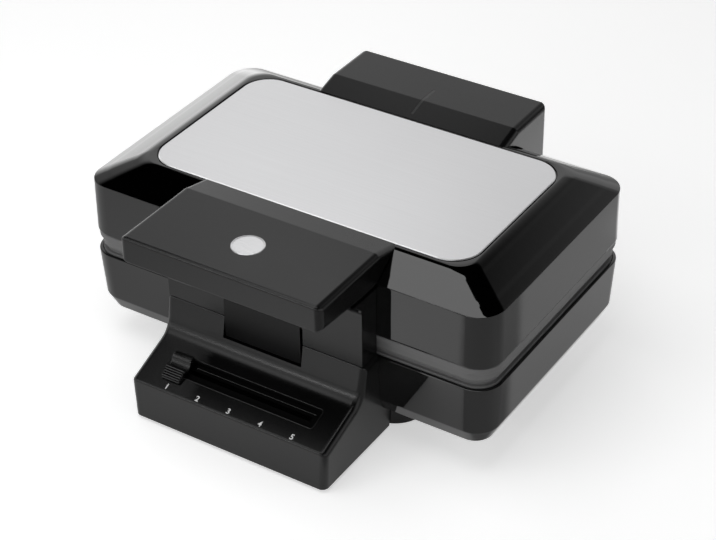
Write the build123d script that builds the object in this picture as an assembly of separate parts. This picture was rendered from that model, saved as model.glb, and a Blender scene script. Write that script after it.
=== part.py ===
from build123d import *
import os
from math import cos, radians, sin, tan

# Double Belgian waffle maker. Millimetres, +Z up, +Y to the back, the handle and controls in front.
# Every piece is drawn about the middle of the oval pod and moved at the end, so that the
# origin lies on the counter under the middle of the whole machine.

# Pod: the two glossy housings, seen from above
POD_LENGTH = 340.0
POD_DEPTH = 205.0
POD_CORNER = 19.5
POD_WALL = 2.6
LID_FLARE = 0.3
BASE_LIP = 0.6
BASE_DRAFT = 2.2
BEVEL_INSET = 6.0

# Heights, stacked from the counter
FOOT_HEIGHT = 3.0
BELLY_HEIGHT = 22.0
BEVEL_RISE = 12.0
BASE_WALL_HEIGHT = 39.0
LOWER_RIM_HEIGHT = 12.0
UPPER_RIM_HEIGHT = 5.5
LID_WALL_HEIGHT = 42.8
CROWN_RISE = 14.8
CROWN_FLAT = 0.42
CROWN_STEPS = 5
COVER_PROUD = 0.3
BLOCK_RISE = 5.8

# Steel cover in the crown
COVER_INSET_X = 36.5
COVER_INSET_Y = 29.5
COVER_CORNER = 22.0
COVER_THICKNESS = 1.5
COVER_BEVEL = 0.6
COVER_GAP = 1.0
CROWN_LIP = 1.0
DECK_THICKNESS = 2.2

# Front and rear blocks, all of one width
BLOCK_WIDTH = 164.0
BLOCK_WALL = 2.8
BLOCK_CORNER = 5.0
EDGE_ROUND = 1.2
CREASE_ROUND = 2.0
HANDLE_REACH = 68.5
HANDLE_FACE = 20.3
HANDLE_CREASE = 5.0
UNDERSIDE_TILT = 4.5
HAND_ROUND = 14.0
PANEL_REACH = 19.0
BLOCK_SPLIT = 2.0
PANEL_LEAN = 5.0
SIDE_FLARE = 2.7
LEDGE_FACE = 32.0
LEDGE_TILT = 20.6
LEDGE_ROUND = 16.0
BLOCK_TAIL = 16.0
HINGE_REACH = 37.7
HINGE_CREASE = 8.1
COVER_SCREW_INSET = 10.0
COVER_SCREW_DROP = 10.0
BAND_LIP = 0.5
COVER_SKIRT_WALL = 2.8

# Hinge
LID_OPEN = 100.0
HINGE_OUT = 18.5
HINGE_RISE = 3.0
SWING_CLEARANCE = 1.5
BARREL_RADIUS = 15.2
BARREL_INSET = 30.0
BARREL_HOLLOW = 11.6
BARREL_CAP = 19.0
BARREL_SLOT = 8.0
NECK_BACK = 6.0
NECK_DROP = 4.0
BARREL_SCREW_INSET = 14.0
BARREL_SCREW_BACK = 4.0
BARREL_SCREW_BITE = 9.0
PIN_RADIUS = 3.0
PIN_GRIP = 14.0
PIN_OUT = 2.0
PIN_FIT = 0.02
RUNNING_FIT = 0.05
BRACKET_GAP = 1.5
BRACKET_WIDTH = 8.0
BRACKET_RING = 8.0
BRACKET_FOOT_LOW = 8.0
BRACKET_FOOT_HIGH = 38.0
BRACKET_ARM = 7.0
BRACKET_BITE = 4.5

# Clearances
SEAT = 0.2
PARTING_GAP = 0.6

# Rims and waffle plates, measured away from the parting plane
PLATE_INSET_X = 16.5
PLATE_INSET_Y = 16.0
PLATE_CORNER = 16.0
PLATE_FLANGE = 4.0
PLATE_GAP = 0.4
RIM_INSET = 1.9
RIM_GROOVE = 2.6
LOWER_RIM_BAND = 8.6
UPPER_RIM_BAND = 4.6
LOWER_RIM_ROUND = 4.2
UPPER_RIM_ROUND = 0.5
RIM_EDGE = 0.5
RIM_LEDGE = 2.4
LEDGE_WIDTH = 13.5
SKIRT_THICKNESS = 2.4
SKIRT_DEPTH = 18.0
RIM_WALL = 9.0
SPIGOT_HEIGHT = 2.5
SPIGOT_GAP = 0.3
WAFFLE_MARGIN = 25.5
WAFFLE_DIVIDER = 12.0
WAFFLE_CORNER = 6.0
WAFFLE_DRAFT = 8.0
POCKET_DEPTH = 12.0
POCKET_FLOOR = 3.5
PEG_COUNT = 4
PEG_GAP = 8.0
PEG_MARGIN = 9.0
PEG_HEIGHT = 9.0
PEG_DRAFT = 12.0
GUTTER_WIDTH = 3.0
GUTTER_DEPTH = 1.2
GUTTER_OUT = 8.5

# Heating element and reflector behind each plate
ELEMENT_RADIUS = 3.3
ELEMENT_INSET_X = 35.5
ELEMENT_INSET_Y = 40.5
ELEMENT_BEND = 14.0
ELEMENT_ENDS = 26.0
ELEMENT_TAIL = 17.0
CLIP_WIDTH = 8.0
CLIP_WALL = 1.6
CLIP_INSET = 34.0
REFLECTOR_SHEET = 0.8
REFLECTOR_DROP = 9.5
REFLECTOR_FLANGE = 7.0
REFLECTOR_PORT = 5.5

# Sensor, fuse and terminals
SENSOR_LENGTH = 18.0
SENSOR_HEIGHT = 4.0
SENSOR_STUD = 3.2
SENSOR_PLACE = -16.0
FUSE_RADIUS = 2.4
FUSE_LENGTH = 22.0
FUSE_SADDLE = 7.0
FUSE_PLACE = 12.0
TERMINAL_WIDTH = 18.0
TERMINAL_LENGTH = 34.0
TERMINAL_HEIGHT = 12.0
TERMINAL_PITCH = 11.0
TERMINAL_INSET = 58.0
WIRE_BORE = 2.2

# Fasteners
OVERCUT = 1.0
SCREW_RADIUS = 2.0
SCREW_HEAD = 3.5
HEAD_HEIGHT = 2.2
HOLE_PLAY = 0.15
BOSS_RADIUS = 5.0
RIB = 2.4
SMALL_SCREW = 1.25
SMALL_HEAD = 2.5
SMALL_BOSS = 3.6
RIM_SCREW_INSET = 8.0
RIM_SCREW_INSET_Y = 42.5
RIM_SCREW_LENGTH = 22.0
PLATE_SCREW_INSET_Y = 26.5
PLATE_SCREW_BITE = 2.6

# Block fixings and badge
HOUSING_BOSS = 11.0
HOUSING_SCREW_RISE = 8.0
HOUSING_SCREW_INSET = 16.0
HANDLE_SCREW_INSET = 26.0
HANDLE_SCREW_RISE = 12.0
HANDLE_SCREW_PITCH = 16.0
BADGE_RADIUS = 12.0
BADGE_THICKNESS = 1.0
BADGE_PROUD = 0.3
BADGE_BACK = 36.7
SIDE_NOTCH_RADIUS = 4.0
SIDE_NOTCH_DEPTH = 2.4
SIDE_NOTCH_DROP = 8.0
SIDE_NOTCH_FRONT = 4.5

# Latch flap
FLAP_WIDTH = 64.0
FLAP_TOP = 94.2
FLAP_BOTTOM = 62.0
FLAP_THICKNESS = 2.5
FLAP_PROUD = 1.5
FLAP_GAP = 1.3
FLAP_OPEN = 18.0
LATCH_PIN_RADIUS = 1.2
LATCH_PIN_DROP = 3.2
KNUCKLE_RADIUS = 2.6
KNUCKLE_WIDTH = 9.0
KNUCKLE_SPREAD = 46.0
LATCH_EAR = 5.0
EAR_DEPTH = 8.0
EAR_HEIGHT = 10.0
CATCH_GAP = 0.4
CATCH_TOOTH = 1.5
CATCH_HEIGHT = 2.5
CATCH_DROP = 7.5
RECESS_DEPTH = 4.4
RECESS_WALL = 2.4
SPRING_WIRE = 0.5
SPRING_RADIUS = 2.3
SPRING_TURNS = 8
SPRING_PITCH = 2.0

# Browning slider on the ledge
SLOT_INSET = 18.0
SLOT_WIDTH = 16.6
SLOT_DEPTH = 4.0
SLOT_BACK = 27.5
SLIDER_END = 1.5
TRACK_GAP = 0.2
TRACK_FLOOR = 1.4
STEM_WIDTH = 3.0
STEM_LENGTH = 7.0
STEM_PLAY = 0.4
STEM_TANG = 5.0
STEM_GRIP = 2.4
WIPER_BITE = 3.5
KNOB_LENGTH = 18.0
KNOB_DEPTH = 22.0
KNOB_HEIGHT = 5.5
KNOB_LIFT = 0.4
KNOB_FORWARD = 2.0
KNOB_BEVEL = 1.2
KNOB_RIBS = 5
RIB_GROOVE = 1.2
POT_WIDTH = 10.0
POT_HEIGHT = 7.0
POT_WALL = 1.2
POT_DROP = 8.5
BOARD_INSET = 9.0
BOARD_DEPTH = 26.0
BOARD_THICKNESS = 1.6
BOARD_SCREW_INSET = 4.0
BOARD_SCREW_LENGTH = 8.0
RELAY_LENGTH = 15.0
RELAY_HEIGHT = 10.0
RELAY_PLACE = -34.0
TRANSFORMER_SIZE = 14.0
TRANSFORMER_HEIGHT = 9.0
TRANSFORMER_PLACE = -8.0
CAPACITOR_RADIUS = 3.0
CAPACITOR_HEIGHT = 8.0
CAPACITOR_PLACE = 14.0
CONNECTOR_LENGTH = 20.0
CONNECTOR_HEIGHT = 8.0
CONNECTOR_PLACE = 38.0
SLOT_CORNER = 1.5
TRACK_WALL = 1.0
PEG_CORNER = 2.0

# Indicator in the hinge cover
LENS_WIDTH = 2.0
LENS_LENGTH = 33.0
LENS_START = 5.0
LENS_GAP = 0.1
LENS_SUNK = 0.1
LAMP_BOARD_LENGTH = 30.0
LAMP_BOARD_DEPTH = 14.0
LAMP_RADIUS = 1.4
LAMP_ROOM = 3.6
LAMP_POST = 3.0

# Belly pan, base plates, feet and cord inlet
PAN_WIDER = 14.0
PAN_INSET_Y = 16.5
PAN_CORNER = 24.0
PAN_WALL = 2.4
BELLY_LEDGE_X = 18.0
BELLY_LEDGE_Y = 20.0
PAN_POST_INSET = 11.5
POST_RADIUS = 5.0
BASE_PLATE = 2.4
FOOT_RADIUS = 7.5
FOOT_STEM = 3.0
FOOT_ROUND = 0.8
FOOT_INSET_X = 14.0
FOOT_INSET_Y = 14.0
PLATE_BOSS_INSET = 8.0
CORD_BORE = 3.6
CORD_SLEEVE = 5.6
CORD_FLANGE = 7.6
CORD_INLET_X = 48.0
CORD_INLET_RISE = 24.0
CORD_INLET_LENGTH = 16.0

# Levels and faces worked out from the sizes above
z_belly = FOOT_HEIGHT + BELLY_HEIGHT
z_bevel = z_belly + BEVEL_RISE
z_base_top = z_bevel + BASE_WALL_HEIGHT
z_parting = z_base_top + LOWER_RIM_HEIGHT
z_lid_bottom = z_parting + UPPER_RIM_HEIGHT
z_crease = z_lid_bottom + LID_WALL_HEIGHT
z_crown = z_crease + CROWN_RISE
z_cover = z_crown + COVER_PROUD
z_block = z_cover + BLOCK_RISE
z_split = z_base_top + BLOCK_SPLIT
z_ledge = FOOT_HEIGHT + LEDGE_FACE

pod_front = -POD_DEPTH / 2
pod_back = POD_DEPTH / 2
half_block = BLOCK_WIDTH / 2
base_half_depth = POD_DEPTH / 2 + BASE_LIP
cover_length = POD_LENGTH - 2 * COVER_INSET_X
cover_depth = POD_DEPTH - 2 * COVER_INSET_Y
plate_length = POD_LENGTH - 2 * PLATE_INSET_X
plate_depth = POD_DEPTH - 2 * PLATE_INSET_Y
waffle_length = (plate_length - 2 * WAFFLE_MARGIN - WAFFLE_DIVIDER) / 2
waffle_depth = plate_depth - 2 * WAFFLE_MARGIN
element_length = plate_length - 2 * ELEMENT_INSET_X
element_depth = plate_depth - 2 * ELEMENT_INSET_Y
pan_length = BLOCK_WIDTH + 2 * PAN_WIDER
pan_depth = POD_DEPTH - 2 * PAN_INSET_Y
belly_length = pan_length - 2 * BELLY_LEDGE_X
belly_depth = pan_depth - 2 * BELLY_LEDGE_Y
slot_length = BLOCK_WIDTH - 2 * SLOT_INSET
slider_travel = slot_length - KNOB_LENGTH - 2 * SLIDER_END
board_length = BLOCK_WIDTH - 2 * BOARD_INSET
barrel_length = BLOCK_WIDTH - 2 * BARREL_INSET
barrel_hollow_length = barrel_length - 2 * BARREL_CAP
crown_length = cover_length + 2 * (COVER_GAP + CROWN_LIP)
crown_depth = cover_depth + 2 * (COVER_GAP + CROWN_LIP)
crown_corner = COVER_CORNER + COVER_GAP + CROWN_LIP
handle_front = pod_front - HANDLE_REACH
panel_face = pod_front - PANEL_REACH
block_back = pod_back + HINGE_REACH
hinge_y = pod_back + HINGE_OUT
hinge_z = z_parting + HINGE_RISE
pod_shift = -(handle_front + block_back) / 2


# Shared ways of making a shape

def slab(length, depth, corner, low, high):
    """Upright rounded block between two heights."""
    return Pos(0, 0, low) * extrude(RectangleRounded(length, depth, corner), amount=high - low)


def skin(*levels):
    """Ruled solid through rounded outlines, each given as height, length, depth and corner."""
    outlines = [Pos(0, 0, z) * RectangleRounded(length, depth, corner) for z, length, depth, corner in levels]
    return loft([outline.face() for outline in outlines], ruled=True)


def side_profile(*corners):
    """Closed outline seen from the side, each corner given as depth, height and an optional radius."""
    points = [(corner[0], corner[1]) for corner in corners]
    radii = [corner[2] if len(corner) > 2 else 0 for corner in corners]
    if not any(radii):
        return make_face(Polyline(*points, close=True))
    return make_face(FilletPolyline(*points, radius=radii, close=True))


def across(profile, width, centre=0.0):
    """Side outline drawn out to a width along X."""
    return Pos(centre, 0, 0) * extrude(Plane.YZ * profile, amount=width / 2, both=True)


def block(length, depth, height, x=0.0, y=0.0, low=0.0):
    """Plain block standing on a height."""
    return Pos(x, y, low + height / 2) * Box(length, depth, height)


def post(radius, low, high, x=0.0, y=0.0):
    """Upright cylinder between two heights."""
    return Pos(x, y, (low + high) / 2) * Cylinder(radius, high - low)


def rod_x(radius, length, x, y, z):
    """Cylinder lying along X."""
    return Pos(x, y, z) * Rot(0, 90, 0) * Cylinder(radius, length)


def rod_y(radius, start, end, x, z):
    """Cylinder lying along Y between two depths."""
    return Pos(x, (start + end) / 2, z) * Rot(90, 0, 0) * Cylinder(radius, abs(end - start))


def four_corners(x, y):
    """Places at plus and minus x and y."""
    return [(sx * x, sy * y) for sx in (-1, 1) for sy in (-1, 1)]


def group(solids):
    """Separate solids kept in one node."""
    return Compound(children=[solid.solid() for solid in solids])


def mirrored_up(piece):
    """The upper twin of a lower piece, mirrored about the parting plane."""
    return mirror(piece, about=Plane.XY.offset(z_parting))


# Housings

def lid_housing():
    """Glossy upper shell, open below, with a sunk deck that carries the steel cover."""
    length = POD_LENGTH + 2 * LID_FLARE
    depth = POD_DEPTH + 2 * LID_FLARE
    shell = skin(
        (z_lid_bottom, length, depth, POD_CORNER),
        *crown_levels(0, 0, 0),
    )
    twice = 2 * POD_WALL
    hollow = skin(
        (z_lid_bottom - POD_WALL, length - twice, depth - twice, POD_CORNER - POD_WALL),
        *crown_levels(POD_WALL, POD_WALL / 3, z_crown - deck_under()),
    )
    pocket = slab(
        cover_length + 2 * COVER_GAP,
        cover_depth + 2 * COVER_GAP,
        COVER_CORNER + COVER_GAP,
        z_cover - COVER_THICKNESS - SEAT,
        z_cover + COVER_THICKNESS,
    )
    shell = shell - hollow - pocket
    boss_end = z_lid_bottom + SPIGOT_HEIGHT + SEAT
    for x, y in rim_screw_places():
        shell += post(BOSS_RADIUS, boss_end, z_crease - POD_WALL, x, y)
        shell += block(2 * BOSS_RADIUS, RIB, z_crease - POD_WALL - boss_end, rib_x(x), y, boss_end)
        shell -= post(SCREW_RADIUS, boss_end - OVERCUT, z_parting + RIM_SCREW_LENGTH + SEAT, x, y)
    for x, z in handle_screw_places():
        shell -= wall_hole(pod_front, x, z)
    for x, z in bracket_screw_places():
        shell -= wall_hole(pod_back, x, z)
    for x in hinge_cover_screw_places():
        shell -= wall_hole(pod_back, x, hinge_cover_screw_z())
    return shell


def crown_steps():
    """Shares of the way from the cover out to the crease, starting at the crease."""
    return [1 - count / CROWN_STEPS for count in range(CROWN_STEPS + 1)]


def crown_at(out):
    """Height of the domed crown, from 0 at the cover to 1 at the crease."""
    return z_crown - CROWN_RISE * (CROWN_FLAT * out + (1 - CROWN_FLAT) * out ** 2)


def crown_levels(inset, drop_outside, drop_inside):
    """Outlines of the crown from the crease up to the cover, set in and lowered by a wall."""
    levels = []
    for out in crown_steps():
        length = crown_length + (POD_LENGTH - crown_length) * out
        depth = crown_depth + (POD_DEPTH - crown_depth) * out
        corner = crown_corner + (POD_CORNER - crown_corner) * out
        drop = drop_inside + (drop_outside - drop_inside) * out
        levels.append((crown_at(out) - drop, length - 2 * inset, depth - 2 * inset, corner - inset))
    return levels


def over_crown(side):
    """Corners of a block's underside where it lies on the front or back of the crown."""
    return [
        (side * (crown_depth + (POD_DEPTH - crown_depth) * out) / 2, crown_at(out) + SEAT, 0)
        for out in crown_steps()[1:]
    ]


def wall_hole(wall, x, z):
    """Clear hole for a screw through a front or back wall."""
    return rod_y(SCREW_RADIUS + HOLE_PLAY, wall - 3 * POD_WALL, wall + 3 * POD_WALL, x, z)


def rib_x(x):
    """Middle of the rib between a rim screw's boss and the end wall."""
    side = 1 if x > 0 else -1
    return side * (POD_LENGTH / 2 - POD_WALL / 2 - BOSS_RADIUS)


def deck_under():
    """Height of the underside of the crown's deck."""
    return z_cover - COVER_THICKNESS - SEAT - DECK_THICKNESS


def steel_cover():
    """Satin steel sheet lying in the crown, its upper edge bevelled."""
    sheet = slab(cover_length, cover_depth, COVER_CORNER, z_cover - COVER_THICKNESS, z_cover)
    return chamfer(sheet.faces().sort_by(Axis.Z)[-1].edges(), COVER_BEVEL)


def base_housing():
    """Glossy lower tub with a bevelled bottom edge and an opening for the belly pan."""
    length = POD_LENGTH + 2 * BASE_LIP
    depth = POD_DEPTH + 2 * BASE_LIP
    narrow = 2 * BASE_DRAFT
    bevel = narrow + 2 * BEVEL_INSET
    twice = 2 * POD_WALL
    shell = skin(
        (z_belly, length - bevel, depth - bevel, POD_CORNER - BEVEL_INSET),
        (z_bevel, length - narrow, depth - narrow, POD_CORNER - BASE_DRAFT / 2),
        (z_base_top, length, depth, POD_CORNER),
    )
    inner = POD_CORNER - POD_WALL
    hollow = skin(
        (z_belly + POD_WALL, length - bevel - twice, depth - bevel - twice, inner - BEVEL_INSET),
        (z_bevel + POD_WALL / 3, length - narrow - twice, depth - narrow - twice, inner - BASE_DRAFT / 2),
        (z_base_top + POD_WALL, length - twice, depth - twice, inner),
    )
    shell = shell - hollow
    opening = RectangleRounded(belly_length, belly_depth, PAN_CORNER)
    shell -= Pos(0, 0, z_belly - OVERCUT) * extrude(opening, amount=POD_WALL + 2 * OVERCUT)
    boss_end = z_base_top - SPIGOT_HEIGHT - SEAT
    for x, y in rim_screw_places():
        shell += post(BOSS_RADIUS, z_bevel + POD_WALL, boss_end, x, y)
        shell -= post(SCREW_RADIUS, z_parting - RIM_SCREW_LENGTH - SEAT, boss_end + OVERCUT, x, y)
    for x, y in pan_post_places():
        shell += post(POST_RADIUS, z_belly + POD_WALL / 2, z_belly + BEVEL_RISE, x, y)
        shell -= post(SCREW_RADIUS, z_belly - SEAT, pan_screw_top() + SEAT, x, y)
    for x in housing_screw_places():
        for y in (pod_front, pod_back):
            shell -= wall_hole(y, x, housing_screw_z())
    return shell


def belly_pan():
    """Matte pan under the pod, fastened through four posts from below."""
    pan = slab(pan_length, pan_depth, PAN_CORNER, FOOT_HEIGHT, z_belly - SEAT)
    pan -= slab(
        pan_length - 2 * PAN_WALL,
        pan_depth - 2 * PAN_WALL,
        PAN_CORNER - PAN_WALL,
        FOOT_HEIGHT + PAN_WALL,
        z_belly + PAN_WALL,
    )
    for x, y in pan_post_places():
        pan += post(POST_RADIUS, FOOT_HEIGHT, z_belly - SEAT, x, y)
        pan -= post(SCREW_RADIUS + HOLE_PLAY, FOOT_HEIGHT - OVERCUT, z_belly + OVERCUT, x, y)
        pan -= post(SCREW_HEAD + HOLE_PLAY, FOOT_HEIGHT - OVERCUT, pan_head_level(), x, y)
    return pan


def pan_post_places():
    """Places of the four posts that hold the belly pan."""
    return four_corners(pan_length / 2 - PAN_POST_INSET, pan_depth / 2 - PAN_POST_INSET)


def pan_head_level():
    """Height at which the belly screws' heads seat."""
    return FOOT_HEIGHT + BELLY_HEIGHT / 2


def pan_screw_top():
    """Height of the belly screws' tips."""
    return z_belly + BEVEL_RISE - POD_WALL


def belly_screws():
    """Four screws that hold the belly pan."""
    screws = []
    for x, y in pan_post_places():
        screw = post(SCREW_RADIUS - HOLE_PLAY, pan_head_level() - HEAD_HEIGHT / 2, pan_screw_top(), x, y)
        screw += post(SCREW_HEAD, pan_head_level() - HEAD_HEIGHT, pan_head_level() - SEAT / 2, x, y)
        screws.append(screw)
    return group(screws)


# Rims, drawn for the lid and mirrored for the base

def rim(height, rim_length, rim_depth, band, band_round, groove, spigot_inset):
    """Dark rim that frames a waffle plate, with its spigot, its ledge and the skirt behind the plate."""
    low = z_parting + PARTING_GAP / 2
    high = z_parting + height - SEAT
    top = high + SPIGOT_HEIGHT
    corner = POD_CORNER - RIM_INSET / 2
    neck_length = rim_length - 2 * groove
    neck_depth = rim_depth - 2 * groove
    ring = slab(rim_length, rim_depth, corner, low, low + band)
    ring = fillet(ring.faces().sort_by(Axis.Z)[-1].edges(), band_round)
    ring = fillet(ring.faces().sort_by(Axis.Z)[0].edges(), RIM_EDGE)
    ring += slab(neck_length, neck_depth, corner - groove, low, high)
    ring += slab(
        POD_LENGTH - 2 * spigot_inset,
        POD_DEPTH - 2 * spigot_inset,
        POD_CORNER - spigot_inset,
        high - RIM_LEDGE / 2,
        top,
    )
    hollow = slab(
        neck_length - 2 * RIM_WALL, neck_depth - 2 * RIM_WALL, corner, low - OVERCUT, top + OVERCUT
    )
    frame_length = plate_length + 2 * (PLATE_GAP + RIM_LEDGE)
    frame_depth = plate_depth + 2 * (PLATE_GAP + RIM_LEDGE)
    ring = ring - hollow
    ring += slab(frame_length, frame_depth, PLATE_CORNER + PLATE_GAP + RIM_LEDGE, low, ledge_top())
    ring -= slab(
        plate_length + 2 * PLATE_GAP,
        plate_depth + 2 * PLATE_GAP,
        PLATE_CORNER + PLATE_GAP,
        low - OVERCUT,
        ledge_low(),
    )
    skirt_length = plate_length - 2 * LEDGE_WIDTH
    skirt_depth = plate_depth - 2 * LEDGE_WIDTH
    skirt_end = z_parting + SKIRT_DEPTH
    ring += slab(
        skirt_length + 2 * SKIRT_THICKNESS,
        skirt_depth + 2 * SKIRT_THICKNESS,
        PLATE_CORNER,
        ledge_low(),
        skirt_end,
    )
    ring -= slab(
        skirt_length,
        skirt_depth,
        PLATE_CORNER - SKIRT_THICKNESS,
        low - OVERCUT,
        skirt_end + OVERCUT,
    )
    for x, y in rim_screw_places():
        ring -= post(SCREW_RADIUS + HOLE_PLAY, low - OVERCUT, skirt_end, x, y)
        ring -= post(SCREW_HEAD + HOLE_PLAY, low - OVERCUT, low + HEAD_HEIGHT + SEAT, x, y)
    for x, y in plate_screw_places():
        ring -= post(SCREW_RADIUS + HOLE_PLAY, low, skirt_end, x, y)
    return ring


def ledge_low():
    """Height of the ledge face that the waffle plate's flange seats on."""
    return z_parting + PARTING_GAP / 2 + PLATE_FLANGE + SEAT


def ledge_top():
    """Height of the far side of that ledge."""
    return ledge_low() + RIM_LEDGE


def lid_rim():
    """Upper rim, its outside flush under the lid's wall."""
    inset = 2 * (RIM_INSET / 2 - LID_FLARE)
    groove = POD_WALL + RIM_INSET
    length = POD_LENGTH - inset
    depth = POD_DEPTH - inset
    spigot_inset = POD_WALL + SPIGOT_GAP
    return rim(UPPER_RIM_HEIGHT, length, depth, UPPER_RIM_BAND, UPPER_RIM_ROUND, groove, spigot_inset)


def base_rim():
    """Lower rim, set in from the base's wall, its band rounded under to a groove."""
    length = POD_LENGTH - 2 * RIM_INSET
    depth = POD_DEPTH - 2 * RIM_INSET
    spigot_inset = POD_WALL - BASE_LIP + SPIGOT_GAP
    lower = rim(LOWER_RIM_HEIGHT, length, depth, LOWER_RIM_BAND, LOWER_RIM_ROUND, RIM_GROOVE, spigot_inset)
    return mirrored_up(lower)


def rim_screw_places():
    """Places of the four screws that hold each rim."""
    return four_corners(POD_LENGTH / 2 - RIM_SCREW_INSET, POD_DEPTH / 2 - RIM_SCREW_INSET_Y)


def upper_rim_screws():
    """Four pan-head screws sunk in the lid rim's face."""
    low = z_parting + PARTING_GAP / 2
    screws = []
    for x, y in rim_screw_places():
        screw = post(SCREW_HEAD, low + SEAT / 2, low + HEAD_HEIGHT, x, y)
        screw += post(SCREW_RADIUS - HOLE_PLAY, low + HEAD_HEIGHT / 2, z_parting + RIM_SCREW_LENGTH, x, y)
        screws.append(screw)
    return group(screws)


# Waffle plates

def waffle_plate():
    """Cast plate of the lid: a flange, two square pockets and their grid of tapered pegs."""
    low = z_parting + PARTING_GAP / 2
    tray_length = 2 * waffle_length + WAFFLE_DIVIDER + 2 * POCKET_FLOOR
    tray_depth = waffle_depth + 2 * POCKET_FLOOR
    bottom = low + POCKET_DEPTH
    plate = slab(plate_length, plate_depth, PLATE_CORNER, low, low + PLATE_FLANGE)
    tray_corner = WAFFLE_CORNER + POCKET_FLOOR
    plate += slab(tray_length, tray_depth, tray_corner, low + PLATE_FLANGE / 2, bottom + POCKET_FLOOR)
    gutter_length = tray_length + 2 * GUTTER_OUT
    gutter_depth = tray_depth + 2 * GUTTER_OUT
    twice = 2 * GUTTER_WIDTH
    gutter = RectangleRounded(gutter_length, gutter_depth, PLATE_CORNER / 2)
    gutter -= RectangleRounded(gutter_length - twice, gutter_depth - twice, PLATE_CORNER / 2 - GUTTER_WIDTH)
    plate -= Pos(0, 0, low) * extrude(gutter, amount=GUTTER_DEPTH)
    peg_length = peg_size(waffle_length)
    peg_depth = peg_size(waffle_depth)
    mouth = RectangleRounded(waffle_length, waffle_depth, WAFFLE_CORNER)
    peg_foot = RectangleRounded(peg_length, peg_depth, PEG_CORNER)
    for side in (-1, 1):
        centre = side * (waffle_length + WAFFLE_DIVIDER) / 2
        plate -= Pos(centre, 0, low) * extrude(mouth, amount=POCKET_DEPTH, taper=WAFFLE_DRAFT)
        for place in GridLocations(peg_length + PEG_GAP, peg_depth + PEG_GAP, PEG_COUNT, PEG_COUNT):
            x = centre + place.position.X
            foot = Plane(origin=(x, place.position.Y, bottom + SEAT), z_dir=(0, 0, -1))
            plate += extrude(foot * peg_foot, amount=PEG_HEIGHT, taper=PEG_DRAFT)
    back = low + PLATE_FLANGE
    for x, y in plate_screw_places():
        plate -= post(SCREW_RADIUS, back - PLATE_SCREW_BITE - SEAT, back + OVERCUT, x, y)
    return plate


def peg_size(pocket):
    """Width of a peg's foot, from the pocket's width and the channels between the pegs."""
    return (pocket - 2 * PEG_MARGIN - (PEG_COUNT - 1) * PEG_GAP) / PEG_COUNT


def plate_back():
    """Height of the back of the pockets of the lid's plate."""
    return z_parting + PARTING_GAP / 2 + POCKET_DEPTH + POCKET_FLOOR


def plate_screw_places():
    """Places of the four screws that hold each plate to its rim's ledge."""
    x = (plate_length - LEDGE_WIDTH + SKIRT_THICKNESS) / 2
    return four_corners(x, plate_depth / 2 - PLATE_SCREW_INSET_Y)


def plate_screws():
    """Four screws through the ledge into the lid's plate."""
    tip = z_parting + PARTING_GAP / 2 + PLATE_FLANGE - PLATE_SCREW_BITE
    screws = []
    for x, y in plate_screw_places():
        screw = post(SCREW_RADIUS - HOLE_PLAY, tip, ledge_top() + HEAD_HEIGHT, x, y)
        screw += post(SMALL_HEAD, ledge_top() + SEAT / 2, ledge_top() + HEAD_HEIGHT, x, y)
        screws.append(screw)
    return group(screws)


def element_level():
    """Height of the middle of the lid's heating element."""
    return plate_back() + ELEMENT_RADIUS + SEAT


def heating_element():
    """Tubular element bent into one long loop, with two tails that pass the reflector."""
    z = element_level()
    half_x = element_length / 2
    half_y = element_depth / 2
    end_x = ELEMENT_ENDS / 2
    tail = z + ELEMENT_TAIL
    tail_bend = ELEMENT_RADIUS * 2.4
    path = FilletPolyline(
        (-end_x, half_y, tail),
        (-end_x, half_y, z),
        (-half_x, half_y, z),
        (-half_x, -half_y, z),
        (half_x, -half_y, z),
        (half_x, half_y, z),
        (end_x, half_y, z),
        (end_x, half_y, tail),
        radius=[tail_bend, ELEMENT_BEND, ELEMENT_BEND, ELEMENT_BEND, ELEMENT_BEND, tail_bend],
    )
    start = Plane(origin=path @ 0, z_dir=path % 0)
    return sweep(start * Circle(ELEMENT_RADIUS), path=path)


def element_clips():
    """Four clips that press the element against the plate's back."""
    clips = []
    level = element_level()
    half_y = element_depth / 2
    for x, y in four_corners(element_length / 2 - CLIP_INSET, half_y):
        reach = ELEMENT_RADIUS + CLIP_WALL + SEAT
        clip = block(CLIP_WIDTH, 2 * reach, level + reach - plate_back(), x, y, plate_back())
        clip -= rod_x(ELEMENT_RADIUS + SEAT / 2, CLIP_WIDTH * 2, x, y, level)
        mouth = level - plate_back() + OVERCUT
        clip -= block(CLIP_WIDTH * 2, 2 * ELEMENT_RADIUS, mouth, x, y, plate_back() - OVERCUT)
        clips.append(clip)
    return group(clips)


def reflector():
    """Pressed tray behind the element, its flange against the end of the rim's skirt."""
    seat = z_parting + SKIRT_DEPTH + SEAT
    length = plate_length - 2 * LEDGE_WIDTH + 2 * SKIRT_THICKNESS
    depth = plate_depth - 2 * LEDGE_WIDTH + 2 * SKIRT_THICKNESS
    inner_length = length - 2 * REFLECTOR_FLANGE
    inner_depth = depth - 2 * REFLECTOR_FLANGE
    tray = slab(length, depth, PLATE_CORNER, seat, seat + REFLECTOR_SHEET)
    corner = PLATE_CORNER - REFLECTOR_FLANGE / 2
    tray += slab(inner_length, inner_depth, corner, seat, seat + REFLECTOR_DROP)
    tray -= slab(
        inner_length - 2 * REFLECTOR_SHEET,
        inner_depth - 2 * REFLECTOR_SHEET,
        corner - REFLECTOR_SHEET,
        seat - OVERCUT,
        seat + REFLECTOR_DROP - REFLECTOR_SHEET,
    )
    for x in (-ELEMENT_ENDS / 2, ELEMENT_ENDS / 2):
        tray -= post(REFLECTOR_PORT, seat, seat + 2 * REFLECTOR_DROP, x, element_depth / 2)
    return tray


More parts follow.
